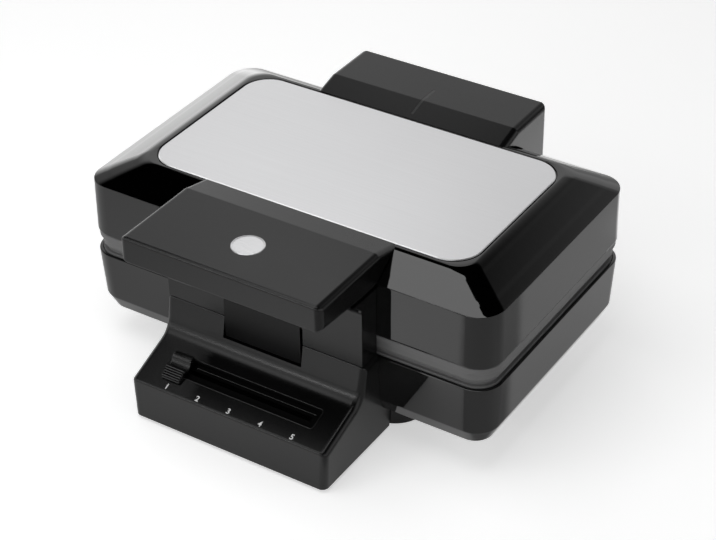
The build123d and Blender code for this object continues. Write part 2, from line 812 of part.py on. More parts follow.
def temperature_sensor():
    """Sensor pressed on the back of the lower plate's divider."""
    back = z_parting - (plate_back() - z_parting)
    low = back - SENSOR_HEIGHT - SEAT
    body = block(WAFFLE_DIVIDER, SENSOR_LENGTH, SENSOR_HEIGHT, 0, SENSOR_PLACE, low)
    body += post(SENSOR_STUD, low - SENSOR_HEIGHT, low + OVERCUT, 0, SENSOR_PLACE)
    return body


def thermal_fuse():
    """Fuse in its saddle on the back of the lower plate."""
    back = z_parting - (plate_back() - z_parting)
    middle = back - SEAT - FUSE_RADIUS - CLIP_WALL / 2
    body = rod_x(FUSE_RADIUS, FUSE_LENGTH, 0, FUSE_PLACE, middle)
    body += block(CLIP_WIDTH, FUSE_SADDLE, back - SEAT - middle, 0, FUSE_PLACE, middle)
    return body


# Front block on the lid: handle

def underside_at(y):
    """Height of the handle's underside at a depth."""
    return z_block - HANDLE_FACE - (y - handle_front) * tan(radians(UNDERSIDE_TILT))


def seam_at(y):
    """Height of the seam between the handle's cover and its base."""
    return underside_at(min(y, panel_face))


def handle_cover():
    """Cap of the handle: flat top, front face and the band that slopes down to the steel cover."""
    band_end = -(cover_depth / 2 + COVER_GAP + SEAT)
    crease = pod_front + HANDLE_CREASE
    seat_y = pod_front - LID_FLARE - SEAT
    outline = side_profile(
        (band_end, z_cover + BAND_LIP, 0),
        (crease, z_block, CREASE_ROUND),
        (handle_front, z_block, EDGE_ROUND * 2),
        (handle_front, z_block - HANDLE_FACE, EDGE_ROUND),
        (panel_face, seam_at(panel_face), 0),
        (seat_y, seam_at(panel_face), 0),
        (seat_y, z_crease + SEAT, 0),
        *over_crown(-1),
        (band_end, z_crown + SEAT, 0),
    )
    cap = across(outline, BLOCK_WIDTH)
    cap = rounded_front(cap)
    roof = z_block - BLOCK_WALL
    nose = band_end - (roof - z_crease) / 2
    hollow = side_profile(
        (handle_front + BLOCK_WALL, z_crease - HANDLE_FACE * 2, 0),
        (handle_front + BLOCK_WALL, roof, 0),
        (crease - OVERCUT, roof, 0),
        (nose, z_crown + (z_block - z_crown) / 2 - BLOCK_WALL / 2, 0),
        (nose, z_crease - HANDLE_FACE * 2, 0),
    )
    cap -= across(hollow, BLOCK_WIDTH - 2 * BLOCK_WALL)
    seat = z_block - BADGE_THICKNESS + BADGE_PROUD - SEAT / 2
    cap -= post(BADGE_RADIUS + SEAT / 2, seat, z_block + OVERCUT, 0, badge_y())
    y = handle_boss_y()
    low = underside_at(y) + BLOCK_WALL + 2 * SEAT
    for x in handle_cover_boss_places():
        cap += post(BOSS_RADIUS, low, z_block - BLOCK_WALL / 2, x, y)
        cap -= post(SCREW_RADIUS, low - OVERCUT, z_block - 2 * BLOCK_WALL, x, y)
    return cap


def rounded_front(piece):
    """Rounds the two upright corners at the front of a block, leaning sides included."""
    upright = piece.edges().filter_by(lambda edge: abs((edge % 0.5).Z) > cos(radians(LEDGE_TILT)))
    return fillet(upright.group_by(Axis.Y)[0], BLOCK_CORNER)


def badge_y():
    """Depth of the badge's middle."""
    return handle_front + BADGE_BACK


def handle_boss_y():
    """Depth of the screws that join the handle's base to its cover."""
    return handle_front + HANDLE_REACH / 3


def handle_cover_boss_places():
    """Where the handle's base is screwed to its cover."""
    return (HANDLE_SCREW_INSET - half_block, half_block - HANDLE_SCREW_INSET)


def handle_base():
    """Under-side of the handle and the front panel, hollow behind, bolted to the lid's wall."""
    back = pod_front - LID_FLARE - SEAT
    front = handle_front + BLOCK_WALL + SEAT
    upper = BLOCK_WALL
    bottom = z_split + PARTING_GAP / 2
    top = underside_at(panel_face) + upper
    outside = handle_front - OVERCUT
    outline = side_profile(
        (front, underside_at(front), 0),
        (panel_face, underside_at(panel_face), HAND_ROUND),
        (panel_face, bottom, 0),
        (back, bottom, 0),
        (back, top, 0),
        (panel_face, top, 0),
        (front, underside_at(front) + upper, 0),
    )
    above = side_profile(
        (outside, underside_at(outside) - SEAT, 0),
        (panel_face, underside_at(panel_face) - SEAT, 0),
        (0, underside_at(panel_face) - SEAT, 0),
        (0, z_block, 0),
        (outside, z_block, 0),
    )
    full = across(outline, BLOCK_WIDTH) - across(above, BLOCK_WIDTH + 2 * OVERCUT)
    piece = full + across(outline, BLOCK_WIDTH - 2 * (BLOCK_WALL + SEAT))
    hollow = side_profile(
        (panel_face + BLOCK_WALL, bottom + BLOCK_WALL, 0),
        (0, bottom + BLOCK_WALL, 0),
        (0, top - BLOCK_WALL, 0),
        (panel_face + BLOCK_WALL, top - BLOCK_WALL, 0),
    )
    piece -= across(hollow, BLOCK_WIDTH - 2 * BLOCK_WALL)
    for x, z in handle_screw_places():
        piece += rod_y(BOSS_RADIUS, panel_face + BLOCK_WALL / 2, back, x, z)
        piece -= rod_y(SCREW_RADIUS, panel_face + BLOCK_WALL, back + OVERCUT, x, z)
    y = handle_boss_y()
    low = underside_at(y) - HEAD_HEIGHT
    for x in handle_cover_boss_places():
        piece -= post(SCREW_RADIUS + HOLE_PLAY, low, z_block, x, y)
        piece -= post(SCREW_HEAD + HOLE_PLAY, low, handle_head_level() + SEAT, x, y)
    piece -= latch_window()
    bore = LATCH_PIN_RADIUS + PIN_FIT
    notch_y = panel_face - SIDE_NOTCH_FRONT
    for side in (-1, 1):
        edge = side * (FLAP_WIDTH / 2 + FLAP_GAP)
        x = edge + side * LATCH_EAR / 2
        y = panel_face + EAR_DEPTH / 2
        piece += block(LATCH_EAR, EAR_DEPTH, EAR_HEIGHT, x, y, latch_pin_z() - EAR_HEIGHT / 2)
        piece -= rod_x(bore, LATCH_EAR * 2, edge, latch_pin_y(), latch_pin_z())
        piece -= rod_x(SIDE_NOTCH_RADIUS, 2 * SIDE_NOTCH_DEPTH, side * half_block, notch_y, side_notch_z())
    return piece


def handle_head_level():
    """Height of the heads of the screws in the handle's underside."""
    return underside_at(handle_boss_y()) + HEAD_HEIGHT / 2


def side_notch_z():
    """Height of the half-round notch in each side of the handle's base."""
    return seam_at(panel_face) - SIDE_NOTCH_DROP


def latch_window():
    """Opening in the front panel for the latch flap."""
    width = FLAP_WIDTH + 2 * FLAP_GAP
    low = z_split - BLOCK_WALL
    return block(width, BLOCK_WALL * 2, FLAP_TOP + FLAP_GAP - low, 0, panel_face, low)


def handle_screw_places():
    """Screws from inside the lid's front wall into the handle's base."""
    low = z_lid_bottom + HANDLE_SCREW_RISE
    return [(x, z) for x in handle_cover_boss_places() for z in (low, low + HANDLE_SCREW_PITCH)]


def handle_screws():
    """Four screws through the lid's front wall and two up through the handle's underside."""
    screws = []
    wall = pod_front + POD_WALL
    for x, z in handle_screw_places():
        screw = rod_y(SCREW_RADIUS - HOLE_PLAY, panel_face + BLOCK_WALL + OVERCUT, wall + HEAD_HEIGHT, x, z)
        screw += rod_y(SCREW_HEAD, wall + SEAT, wall + HEAD_HEIGHT, x, z)
        screws.append(screw)
    seat = handle_head_level()
    y = handle_boss_y()
    for x in handle_cover_boss_places():
        tip = z_block - 2 * BLOCK_WALL - OVERCUT
        screw = post(SCREW_RADIUS - HOLE_PLAY, seat - HEAD_HEIGHT / 2, tip, x, y)
        screw += post(SCREW_HEAD, seat - HEAD_HEIGHT / 2, seat + SEAT / 2, x, y)
        screws.append(screw)
    return group(screws)


def badge_disc():
    """Bare metal disc set in the handle's top."""
    disc = post(BADGE_RADIUS, z_block - BADGE_THICKNESS + BADGE_PROUD, z_block + BADGE_PROUD, 0, badge_y())
    return fillet(disc.faces().sort_by(Axis.Z)[-1].edges(), BADGE_PROUD)


# Latch

def latch_pin_y():
    """Depth of the latch's pivot."""
    return panel_face - FLAP_PROUD + FLAP_THICKNESS + KNUCKLE_RADIUS / 2


def latch_pin_z():
    """Height of the latch's pivot."""
    return FLAP_TOP - LATCH_PIN_DROP


def latch_flap():
    """Spring flap in the front panel whose tooth snaps past the keeper on the base."""
    front = panel_face - FLAP_PROUD
    back = front + FLAP_THICKNESS
    plate = block(FLAP_WIDTH, FLAP_THICKNESS, FLAP_TOP - FLAP_BOTTOM, 0, (front + back) / 2, FLAP_BOTTOM)
    for x in (-KNUCKLE_SPREAD / 2, KNUCKLE_SPREAD / 2):
        plate += rod_x(KNUCKLE_RADIUS, KNUCKLE_WIDTH, x, latch_pin_y(), latch_pin_z())
    plate -= rod_x(LATCH_PIN_RADIUS + RUNNING_FIT, FLAP_WIDTH + 2 * OVERCUT, 0, latch_pin_y(), latch_pin_z())
    gap = KNUCKLE_SPREAD - KNUCKLE_WIDTH
    spring_room = SPRING_RADIUS + SPRING_WIRE + SEAT
    plate -= rod_x(spring_room, gap, 0, latch_pin_y(), latch_pin_z())
    tooth_top = z_split - CATCH_DROP
    tooth = side_profile(
        (back - FLAP_THICKNESS / 4, tooth_top, 0),
        (back + CATCH_TOOTH, tooth_top, 0),
        (back + CATCH_TOOTH, tooth_top - CATCH_HEIGHT / 2, 0),
        (back - FLAP_THICKNESS / 4, tooth_top - 2 * CATCH_HEIGHT, 0),
    )
    plate += across(tooth, FLAP_WIDTH / 2)
    return plate


def latch_pin():
    """Steel wire pin of the flap, its ends held in the handle's ears."""
    length = FLAP_WIDTH + 2 * FLAP_GAP + LATCH_EAR
    return rod_x(LATCH_PIN_RADIUS, length, 0, latch_pin_y(), latch_pin_z())


def latch_spring():
    """Torsion spring wound on the flap's pin."""
    width = SPRING_TURNS * SPRING_PITCH
    coil = Helix(pitch=SPRING_PITCH, height=width, radius=SPRING_RADIUS - SPRING_WIRE / 2)
    start = Plane(origin=coil @ 0, z_dir=coil % 0)
    wire = sweep(start * Circle(SPRING_WIRE / 2), path=coil, is_frenet=True)
    return Pos(-width / 2, latch_pin_y(), latch_pin_z()) * Rot(0, 90, 0) * wire


def latch_recess_back():
    """Depth of the back of the recess under the flap."""
    return panel_face + RECESS_DEPTH


def latch_keeper():
    """Steel keeper strip across the recess in the control housing."""
    back = latch_recess_back() - SEAT
    nose = panel_face - FLAP_PROUD + FLAP_THICKNESS + CATCH_TOOTH + CATCH_GAP
    low = z_split - CATCH_DROP + CATCH_GAP
    width = FLAP_WIDTH - 2 * FLAP_GAP
    return block(width, back - nose, CATCH_HEIGHT, 0, (back + nose) / 2, low)


# Control housing and what it holds

def ledge_at(y):
    """Height of the sloping ledge at a depth."""
    return z_ledge + (y - handle_front) * tan(radians(LEDGE_TILT))


def base_wall_at(z):
    """Depth of the base's front wall at a height."""
    share = (z_base_top - z) / BASE_WALL_HEIGHT
    return -(base_half_depth - share * BASE_DRAFT)


def control_outline(wall):
    """Side outline of the control housing, set in by a wall."""
    top = z_split - PARTING_GAP / 2 - wall
    tail = pod_front + BLOCK_TAIL - wall
    front = handle_front + wall
    face = panel_face + wall
    foot = face - PANEL_LEAN
    drop = wall / cos(radians(LEDGE_TILT))
    edge = EDGE_ROUND if wall == 0 else 0
    low = FOOT_HEIGHT if wall == 0 else FOOT_HEIGHT - OVERCUT
    belly = z_belly - SEAT - wall
    bevel_y = base_wall_at(z_bevel) - SEAT - wall
    step_y = bevel_y + (z_bevel - belly) * BEVEL_INSET / BEVEL_RISE
    return side_profile(
        (face, top, edge),
        (foot, ledge_at(foot) - drop, LEDGE_ROUND + wall),
        (front, ledge_at(front) - drop, 2 * edge),
        (front, low, 0),
        (tail, low, 0),
        (tail, belly, 0),
        (step_y, belly, 0),
        (bevel_y, z_bevel, 0),
        (base_wall_at(top) - SEAT - wall, top, 0),
    )


def flared(outline, inset):
    """Side outline drawn out between the control housing's leaning sides, set in by a wall."""
    low = FOOT_HEIGHT - OVERCUT
    sides = []
    for z in (low, z_split):
        wide = half_block - inset + SIDE_FLARE * (z - FOOT_HEIGHT) / (z_split - FOOT_HEIGHT)
        sides.append((wide, z))
    (low_x, low_z), (top_x, top_z) = sides
    front_view = make_face(Polyline((-low_x, low_z), (low_x, low_z), (top_x, top_z), (-top_x, top_z), close=True))
    through = extrude(Plane.XZ * front_view, amount=POD_DEPTH, both=True)
    return across(outline, BLOCK_WIDTH + 2 * SIDE_FLARE) & through


def control_housing():
    """Matte front block of the base: panel, concave sweep and the ledge with the slider's slot."""
    shell = rounded_front(flared(control_outline(0), 0))
    shell -= flared(control_outline(BLOCK_WALL), BLOCK_WALL)
    shell = with_latch_recess(shell)
    shell = with_slider_slot(shell)
    face = housing_boss_face()
    z = housing_screw_z()
    for x in housing_screw_places():
        shell += rod_y(BOSS_RADIUS, face - HOUSING_BOSS, face, x, z)
        shell -= rod_y(SCREW_RADIUS, face - HOUSING_BOSS - OVERCUT, pod_front + POD_WALL, x, z)
    return with_plate_bosses(shell, front_plate_boss_places())


def with_latch_recess(shell):
    """The control housing with the walled recess that the latch flap hangs in."""
    width = FLAP_WIDTH + 2 * FLAP_GAP
    low = FLAP_BOTTOM - FLAP_GAP
    top = z_split - PARTING_GAP / 2
    front = panel_face - PANEL_LEAN
    back = latch_recess_back() + RECESS_WALL
    walled = width + 2 * RECESS_WALL
    box = block(walled, back - front, top - low + RECESS_WALL, 0, (back + front) / 2, low - RECESS_WALL)
    shell += box & across(control_outline(0), walled)
    reach = RECESS_DEPTH + PANEL_LEAN + LEDGE_ROUND
    shell -= block(width, reach, top - low + OVERCUT, 0, latch_recess_back() - reach / 2, low)
    return shell


def with_slider_slot(shell):
    """The control housing with the slider's slot and the bosses of the control board."""
    floor = SLOT_DEPTH + POD_WALL
    shell += slope_block(slot_length + 2 * POD_WALL, SLOT_WIDTH + 2 * POD_WALL, -floor, -BLOCK_WALL / 2)
    for x, y in board_screw_places():
        place = slope_plane() * Pos(x, y, 0)
        top = -BLOCK_WALL / 2
        low = SEAT - board_level()
        shell += place * Pos(0, 0, (top + low) / 2) * Cylinder(SMALL_BOSS, top - low)
        shell -= place * Pos(0, 0, low) * Cylinder(SMALL_SCREW + HOLE_PLAY, BOARD_SCREW_LENGTH + 2 * OVERCUT)
    slot = rounded_block(slot_length, SLOT_WIDTH, SLOT_DEPTH + 2 * OVERCUT, SLOT_CORNER)
    shell -= slope_plane() * Pos(0, 0, OVERCUT - SLOT_DEPTH / 2) * slot
    shell -= slope_block(slider_travel + 2 * STEM_LENGTH, 3 * STEM_WIDTH, -2 * floor, 0)
    return shell


def with_plate_bosses(shell, places):
    """A front or rear block with the bosses that its base plate is screwed to."""
    low = FOOT_HEIGHT + BASE_PLATE + SEAT
    for x, y in places:
        shell += post(SMALL_BOSS, low, z_belly - BLOCK_WALL / 2 - SEAT, x, y)
        shell -= post(SMALL_SCREW + HOLE_PLAY, FOOT_HEIGHT, plate_screw_tip() + OVERCUT, x, y)
    return shell


def plate_screw_tip():
    """Height of the tips of the base plates' screws."""
    return FOOT_HEIGHT + BELLY_HEIGHT / 2 - OVERCUT


def rounded_block(length, width, height, corner):
    """Rounded block centred on its own middle."""
    return Pos(0, 0, -height / 2) * extrude(RectangleRounded(length, width, corner), amount=height)


def slope_plane():
    """Plane on the sloping ledge, centred on the slider's slot."""
    angle = radians(LEDGE_TILT)
    y = handle_front + SLOT_BACK * cos(angle) - SLOT_WIDTH / 4
    return Plane(origin=(0, y, ledge_at(y)), x_dir=(1, 0, 0), z_dir=(0, -sin(angle), cos(angle)))


def slope_block(length, width, low, high, x=0.0, y=0.0):
    """Block on the sloping ledge between two levels counted from its surface."""
    return slope_plane() * Pos(x, y, (low + high) / 2) * Box(length, width, high - low)


def track_low():
    """Level of the track's underside, counted from the ledge's surface."""
    return -SLOT_DEPTH + TRACK_GAP


def slider_track():
    """Insert that lines the slot, with a long slit for the slider's stem."""
    length = slot_length - 2 * TRACK_GAP
    width = SLOT_WIDTH - 2 * TRACK_GAP
    height = SLOT_DEPTH - 2 * TRACK_GAP
    plane = slope_plane()
    thick = 2 * TRACK_WALL
    outer = rounded_block(length, width, height, SLOT_CORNER - TRACK_GAP)
    inner = rounded_block(length - thick, width - thick, height, (SLOT_CORNER - TRACK_GAP) / 2)
    tray = plane * Pos(0, 0, track_low() + height / 2) * outer
    tray -= plane * Pos(0, 0, track_low() + TRACK_FLOOR + height / 2) * inner
    slit = slider_travel + STEM_LENGTH + 2 * STEM_PLAY
    width = STEM_WIDTH + 2 * STEM_PLAY
    tray -= slope_block(slit, width, track_low() - OVERCUT, track_low() + TRACK_FLOOR + OVERCUT)
    return tray


def slider_start():
    """Place of the slider along X at setting 1."""
    return -slider_travel / 2


def slider_knob():
    """Knob of the slider, ribbed across its front half."""
    low = track_low() + TRACK_FLOOR + KNOB_LIFT
    width = SLOT_WIDTH - 2 * (TRACK_GAP + TRACK_WALL + KNOB_LIFT)
    x = slider_start()
    foot = slope_block(KNOB_LENGTH, width, low, KNOB_LIFT + OVERCUT, x)
    cap = slope_block(KNOB_LENGTH, KNOB_DEPTH, KNOB_LIFT, KNOB_HEIGHT, x, -KNOB_FORWARD)
    cap = chamfer(cap.faces().sort_by(slope_axis())[-1].edges(), KNOB_BEVEL)
    knob = foot + cap
    ribbed = KNOB_LENGTH - 2 * KNOB_BEVEL
    grip_y = -KNOB_DEPTH / 4 - KNOB_FORWARD
    for count in range(KNOB_RIBS):
        groove_x = x - ribbed / 2 + (count + 0.5) * ribbed / KNOB_RIBS
        low_rib = KNOB_HEIGHT - RIB_GROOVE
        knob -= slope_block(RIB_GROOVE, KNOB_DEPTH / 2, low_rib, KNOB_HEIGHT + OVERCUT, groove_x, grip_y)
    socket = STEM_TANG + 2 * PIN_FIT
    knob -= slope_block(socket, STEM_WIDTH + 2 * PIN_FIT, low - OVERCUT, low + STEM_GRIP + PIN_FIT, x)
    return knob


def slope_axis():
    """Direction straight out of the ledge."""
    angle = radians(LEDGE_TILT)
    return Axis((0, 0, 0), (0, -sin(angle), cos(angle)))


def slider_carrier():
    """Stem under the knob that runs in the slit and moves the potentiometer's wiper."""
    x = slider_start()
    low = track_low() + TRACK_FLOOR + KNOB_LIFT
    stem = slope_block(STEM_TANG, STEM_WIDTH, low - OVERCUT, low + STEM_GRIP, x)
    stem += slope_block(STEM_LENGTH, STEM_WIDTH, pot_top() - WIPER_BITE, low - SEAT, x)
    return stem


def pot_top():
    """Level of the top of the potentiometer, counted from the ledge's surface."""
    return -POT_DROP


def board_level():
    """Distance of the control board's near face below the ledge's surface."""
    return POT_DROP + POT_HEIGHT + SEAT


def slide_potentiometer():
    """Long potentiometer under the slit, slotted for the wiper."""
    length = slider_travel + 2 * STEM_LENGTH
    top = pot_top()
    body = slope_block(length, POT_WIDTH, top - POT_HEIGHT, top)
    room = slider_travel + STEM_LENGTH + 4 * STEM_PLAY
    body -= slope_block(room, STEM_WIDTH + 2 * STEM_PLAY, top - POT_HEIGHT + 2 * POT_WALL, top + OVERCUT)
    return body


def control_board():
    """Circuit board with its relay, transformer, capacitors and connector."""
    top = -board_level()
    low = top - BOARD_THICKNESS
    board = slope_block(board_length, BOARD_DEPTH, low, top)
    for x, y in board_screw_places():
        board -= slope_plane() * Pos(x, y, top) * Cylinder(SMALL_SCREW + 2 * HOLE_PLAY, BOARD_SCREW_LENGTH)
    board += slope_block(RELAY_LENGTH, RELAY_HEIGHT, low - RELAY_HEIGHT, low, RELAY_PLACE)
    board += slope_block(TRANSFORMER_SIZE, TRANSFORMER_SIZE, low - TRANSFORMER_HEIGHT, low, TRANSFORMER_PLACE)
    board += slope_block(CONNECTOR_LENGTH, CONNECTOR_HEIGHT, low - CONNECTOR_HEIGHT, low, CONNECTOR_PLACE)
    for x in (CAPACITOR_PLACE - 1.4 * CAPACITOR_RADIUS, CAPACITOR_PLACE + 1.4 * CAPACITOR_RADIUS):
        can = Cylinder(CAPACITOR_RADIUS, CAPACITOR_HEIGHT)
        board += slope_plane() * Pos(x, 0, low - CAPACITOR_HEIGHT / 2) * can
    return board


def board_screw_places():
    """Places of the board's four screws on the ledge's plane."""
    return four_corners(board_length / 2 - BOARD_SCREW_INSET, BOARD_DEPTH / 2 - BOARD_SCREW_INSET)


def board_screws():
    """Four small screws of the control board."""
    screws = []
    top = -board_level()
    for x, y in board_screw_places():
        place = slope_plane() * Pos(x, y, 0)
        head = top - BOARD_THICKNESS - HEAD_HEIGHT / 2 - SEAT / 2
        screw = place * Pos(0, 0, top + OVERCUT / 2) * Cylinder(SMALL_SCREW, BOARD_SCREW_LENGTH)
        screw += place * Pos(0, 0, head) * Cylinder(SMALL_HEAD, HEAD_HEIGHT)
        screws.append(screw)
    return group(screws)


# Rear block: hinge cover on the lid, housing with the barrel on the base

def hinge_cover():
    """Matte cap behind the lid that hides the hinge, with a slit for the indicator."""
    band_end = cover_depth / 2 + COVER_GAP + SEAT
    crease = pod_back - HINGE_CREASE
    seat_y = pod_back + LID_FLARE + SEAT
    outline = side_profile(
        (band_end, z_cover + BAND_LIP, 0),
        (crease, z_block, CREASE_ROUND),
        (block_back, z_block, EDGE_ROUND * 2),
        (block_back, hinge_z, 0),
        (seat_y, hinge_z, 0),
        (seat_y, z_crease + SEAT, 0),
        *over_crown(1),
        (band_end, z_crown + SEAT, 0),
    )
    cap = across(outline, BLOCK_WIDTH)
    cap = fillet(cap.edges().filter_by(Axis.Z).group_by(Axis.Y)[-1], BLOCK_CORNER)
    roof = z_block - COVER_SKIRT_WALL
    nose = band_end + (roof - z_crease) / 2
    hollow = side_profile(
        (block_back - COVER_SKIRT_WALL, hinge_z - OVERCUT, 0),
        (block_back - COVER_SKIRT_WALL, roof, 0),
        (crease + OVERCUT, roof, 0),
        (nose, z_crown + (z_block - z_crown) / 2 - COVER_SKIRT_WALL / 2, 0),
        (nose, hinge_z - OVERCUT, 0),
    )
    cap -= across(hollow, BLOCK_WIDTH - 2 * BLOCK_WALL)
    cap -= across(lens_outline(LENS_GAP, 2 * COVER_SKIRT_WALL), LENS_WIDTH + 2 * LENS_GAP)
    z = hinge_cover_screw_z()
    for x in hinge_cover_screw_places():
        cap += rod_y(BOSS_RADIUS, seat_y, block_back - COVER_SKIRT_WALL / 2, x, z)
        cap -= rod_y(SCREW_RADIUS, pod_back, hinge_y + BOSS_RADIUS, x, z)
    return cap


def lens_outline(grow, depth):
    """Side outline of the indicator, following the cap's band and flat top."""
    crease = pod_back - HINGE_CREASE
    band_end = cover_depth / 2 + COVER_GAP + SEAT
    start = band_end + LENS_START
    end = start + LENS_LENGTH
    fall = (z_block - z_cover - BAND_LIP) * (crease - start) / (crease - band_end)
    top = z_block + grow - LENS_SUNK
    return side_profile(
        (start - grow, top - fall, 0),
        (crease, top, 0),
        (end + grow, top, 0),
        (end + grow, z_block - depth, 0),
        (start - grow + LENS_START, z_block - depth, 0),
        (start - grow, z_block - fall - LENS_WIDTH - grow, 0),
    )


def indicator_lens():
    """Slim light pipe in the hinge cover's slit."""
    return across(lens_outline(0, COVER_SKIRT_WALL + 1), LENS_WIDTH)


def lamp_board():
    """Small board with the ready lamp, under the light pipe."""
    y = pod_back + HINGE_CREASE / 2
    top = z_block - COVER_SKIRT_WALL - LAMP_ROOM
    board = block(LAMP_BOARD_LENGTH, LAMP_BOARD_DEPTH, BOARD_THICKNESS, 0, y, top - BOARD_THICKNESS)
    board += post(LAMP_RADIUS, top - BOARD_THICKNESS / 2, top + LAMP_ROOM / 2, 0, y)
    for side in (-1, 1):
        x = side * (LAMP_BOARD_LENGTH - LAMP_POST) / 2
        board += block(LAMP_POST, LAMP_BOARD_DEPTH, LAMP_ROOM, x, y, top - SEAT)
    return board


def hinge_cover_screw_places():
    """Screws that hold the hinge cover, near its sides."""
    return (COVER_SCREW_INSET - half_block, half_block - COVER_SCREW_INSET)


def hinge_cover_screw_z():
    """Height of those screws."""
    return z_crease - COVER_SCREW_DROP


def hinge_cover_screws():
    """Two screws through the lid's back wall into the hinge cover."""
    screws = []
    wall = pod_back - POD_WALL
    for x in hinge_cover_screw_places():
        screw = rod_y(SCREW_RADIUS - HOLE_PLAY, wall - HEAD_HEIGHT, hinge_y, x, hinge_cover_screw_z())
        screw += rod_y(SCREW_HEAD, wall - HEAD_HEIGHT, wall - SEAT, x, hinge_cover_screw_z())
        screws.append(screw)
    return group(screws)


def bracket_x():
    """Place along X of the middle of a hinge bracket."""
    return barrel_length / 2 + BRACKET_GAP + BRACKET_WIDTH / 2


def bracket_screw_places():
    """Screws that hold the brackets to the lid's back wall."""
    low = hinge_z + BRACKET_FOOT_LOW + BRACKET_ARM
    high = hinge_z + BRACKET_FOOT_HIGH - BRACKET_ARM
    return [(side * bracket_x(), z) for side in (-1, 1) for z in (low, high)]


def hinge_brackets():
    """Two cast brackets on the lid whose rings turn on the hinge pins."""
    foot_face = pod_back + LID_FLARE + SEAT
    brackets = []
    for side in (-1, 1):
        x = side * bracket_x()
        arm = side_profile(
            (hinge_y - BRACKET_RING, hinge_z, 0),
            (foot_face, hinge_z + BRACKET_FOOT_LOW, 0),
            (foot_face, hinge_z + BRACKET_FOOT_HIGH, 0),
            (foot_face + BRACKET_ARM, hinge_z + BRACKET_FOOT_HIGH, 0),
            (hinge_y + BRACKET_RING, hinge_z, 0),
        )
        bracket = across(arm, BRACKET_WIDTH, x)
        bracket += rod_x(BRACKET_RING, BRACKET_WIDTH, x, hinge_y, hinge_z)
        bracket -= rod_x(PIN_RADIUS + RUNNING_FIT, 2 * BRACKET_WIDTH, x, hinge_y, hinge_z)
        for place_x, z in bracket_screw_places():
            if place_x * side > 0:
                end = foot_face + BRACKET_BITE + OVERCUT
                bracket -= rod_y(SCREW_RADIUS, foot_face - OVERCUT, end, place_x, z)
        brackets.append(bracket)
    return group(brackets)


def bracket_screws():
    """Four screws from inside the lid into the hinge brackets."""
    screws = []
    wall = pod_back - POD_WALL
    for x, z in bracket_screw_places():
        screw = rod_y(SCREW_RADIUS - HOLE_PLAY, wall - HEAD_HEIGHT, pod_back + LID_FLARE + BRACKET_BITE, x, z)
        screw += rod_y(SCREW_HEAD, wall - HEAD_HEIGHT, wall - SEAT, x, z)
        screws.append(screw)
    return group(screws)


def hinge_pins():
    """Two steel pins pressed into the barrel's ends."""
    pins = []
    length = PIN_GRIP + BRACKET_GAP + BRACKET_WIDTH + PIN_OUT
    for side in (-1, 1):
        middle = side * (barrel_length / 2 - PIN_GRIP + length / 2)
        pins.append(rod_x(PIN_RADIUS, length, middle, hinge_y, hinge_z))
    return group(pins)


def tower_top():
    """Height of the rear housing's top, which the open hinge cover passes over."""
    lean = radians(LID_OPEN - 90)
    reach = HINGE_REACH - HINGE_OUT
    return hinge_z - reach * (1 + sin(lean)) / cos(lean) - SWING_CLEARANCE


def rear_outline(wall):
    """Side outline of the rear housing's box, set in by a wall."""
    belly = z_belly - SEAT - wall
    bevel_y = -base_wall_at(z_bevel) + SEAT + wall
    step_y = bevel_y - (z_bevel - belly) * BEVEL_INSET / BEVEL_RISE
    top = tower_top() - wall
    back = block_back - wall
    tail = pod_back - BLOCK_TAIL + wall
    low = FOOT_HEIGHT if wall == 0 else FOOT_HEIGHT - OVERCUT
    return side_profile(
        (back, top, EDGE_ROUND * 2 if wall == 0 else 0),
        (back, low, 0),
        (tail, low, 0),
        (tail, belly, 0),
        (step_y, belly, 0),
        (bevel_y, z_bevel, 0),
        (-base_wall_at(top) + SEAT + wall, top, 0),
    )


def hinge_barrel():
    """Bearing block of the hinge: a hollow barrel on a neck that stands on the rear housing."""
    front = base_half_depth + SEAT
    foot = tower_top() + SEAT
    neck = side_profile(
        (front, foot, 0),
        (front, z_base_top, 0),
        (hinge_y - BARREL_RADIUS + OVERCUT, hinge_z - NECK_DROP, 0),
        (hinge_y - NECK_BACK, hinge_z - NECK_DROP, 0),
        (hinge_y - NECK_BACK, foot, 0),
    )
    barrel = across(neck, barrel_length)
    barrel += rod_x(BARREL_RADIUS, barrel_length, 0, hinge_y, hinge_z)
    barrel -= rod_x(BARREL_HOLLOW, barrel_hollow_length, 0, hinge_y, hinge_z)
    barrel -= block(barrel_hollow_length / 3, BARREL_SLOT, BARREL_RADIUS + OVERCUT, 0, hinge_y, hinge_z)
    for side in (-1, 1):
        barrel -= rod_x(PIN_RADIUS + PIN_FIT, 2 * PIN_GRIP, side * barrel_length / 2, hinge_y, hinge_z)
    for x, y in barrel_screw_places():
        barrel -= post(SCREW_RADIUS, foot - OVERCUT, foot + BARREL_SCREW_BITE + OVERCUT, x, y)
    return barrel


def barrel_screw_places():
    """Screws that hold the barrel's neck, across the machine."""
    x = barrel_length / 2 - BARREL_SCREW_INSET
    y = hinge_y - NECK_BACK - BARREL_SCREW_BACK
    return [(-x, y), (0, y), (x, y)]


def barrel_screws():
    """Screws up through the rear housing's top into the barrel's neck."""
    under = tower_top() - BLOCK_WALL - SEAT
    screws = []
    for x, y in barrel_screw_places():
        screw = post(SCREW_RADIUS - HOLE_PLAY, under - HEAD_HEIGHT, tower_top() + BARREL_SCREW_BITE, x, y)
        screw += post(SCREW_HEAD, under - HEAD_HEIGHT, under, x, y)
        screws.append(screw)
    return group(screws)


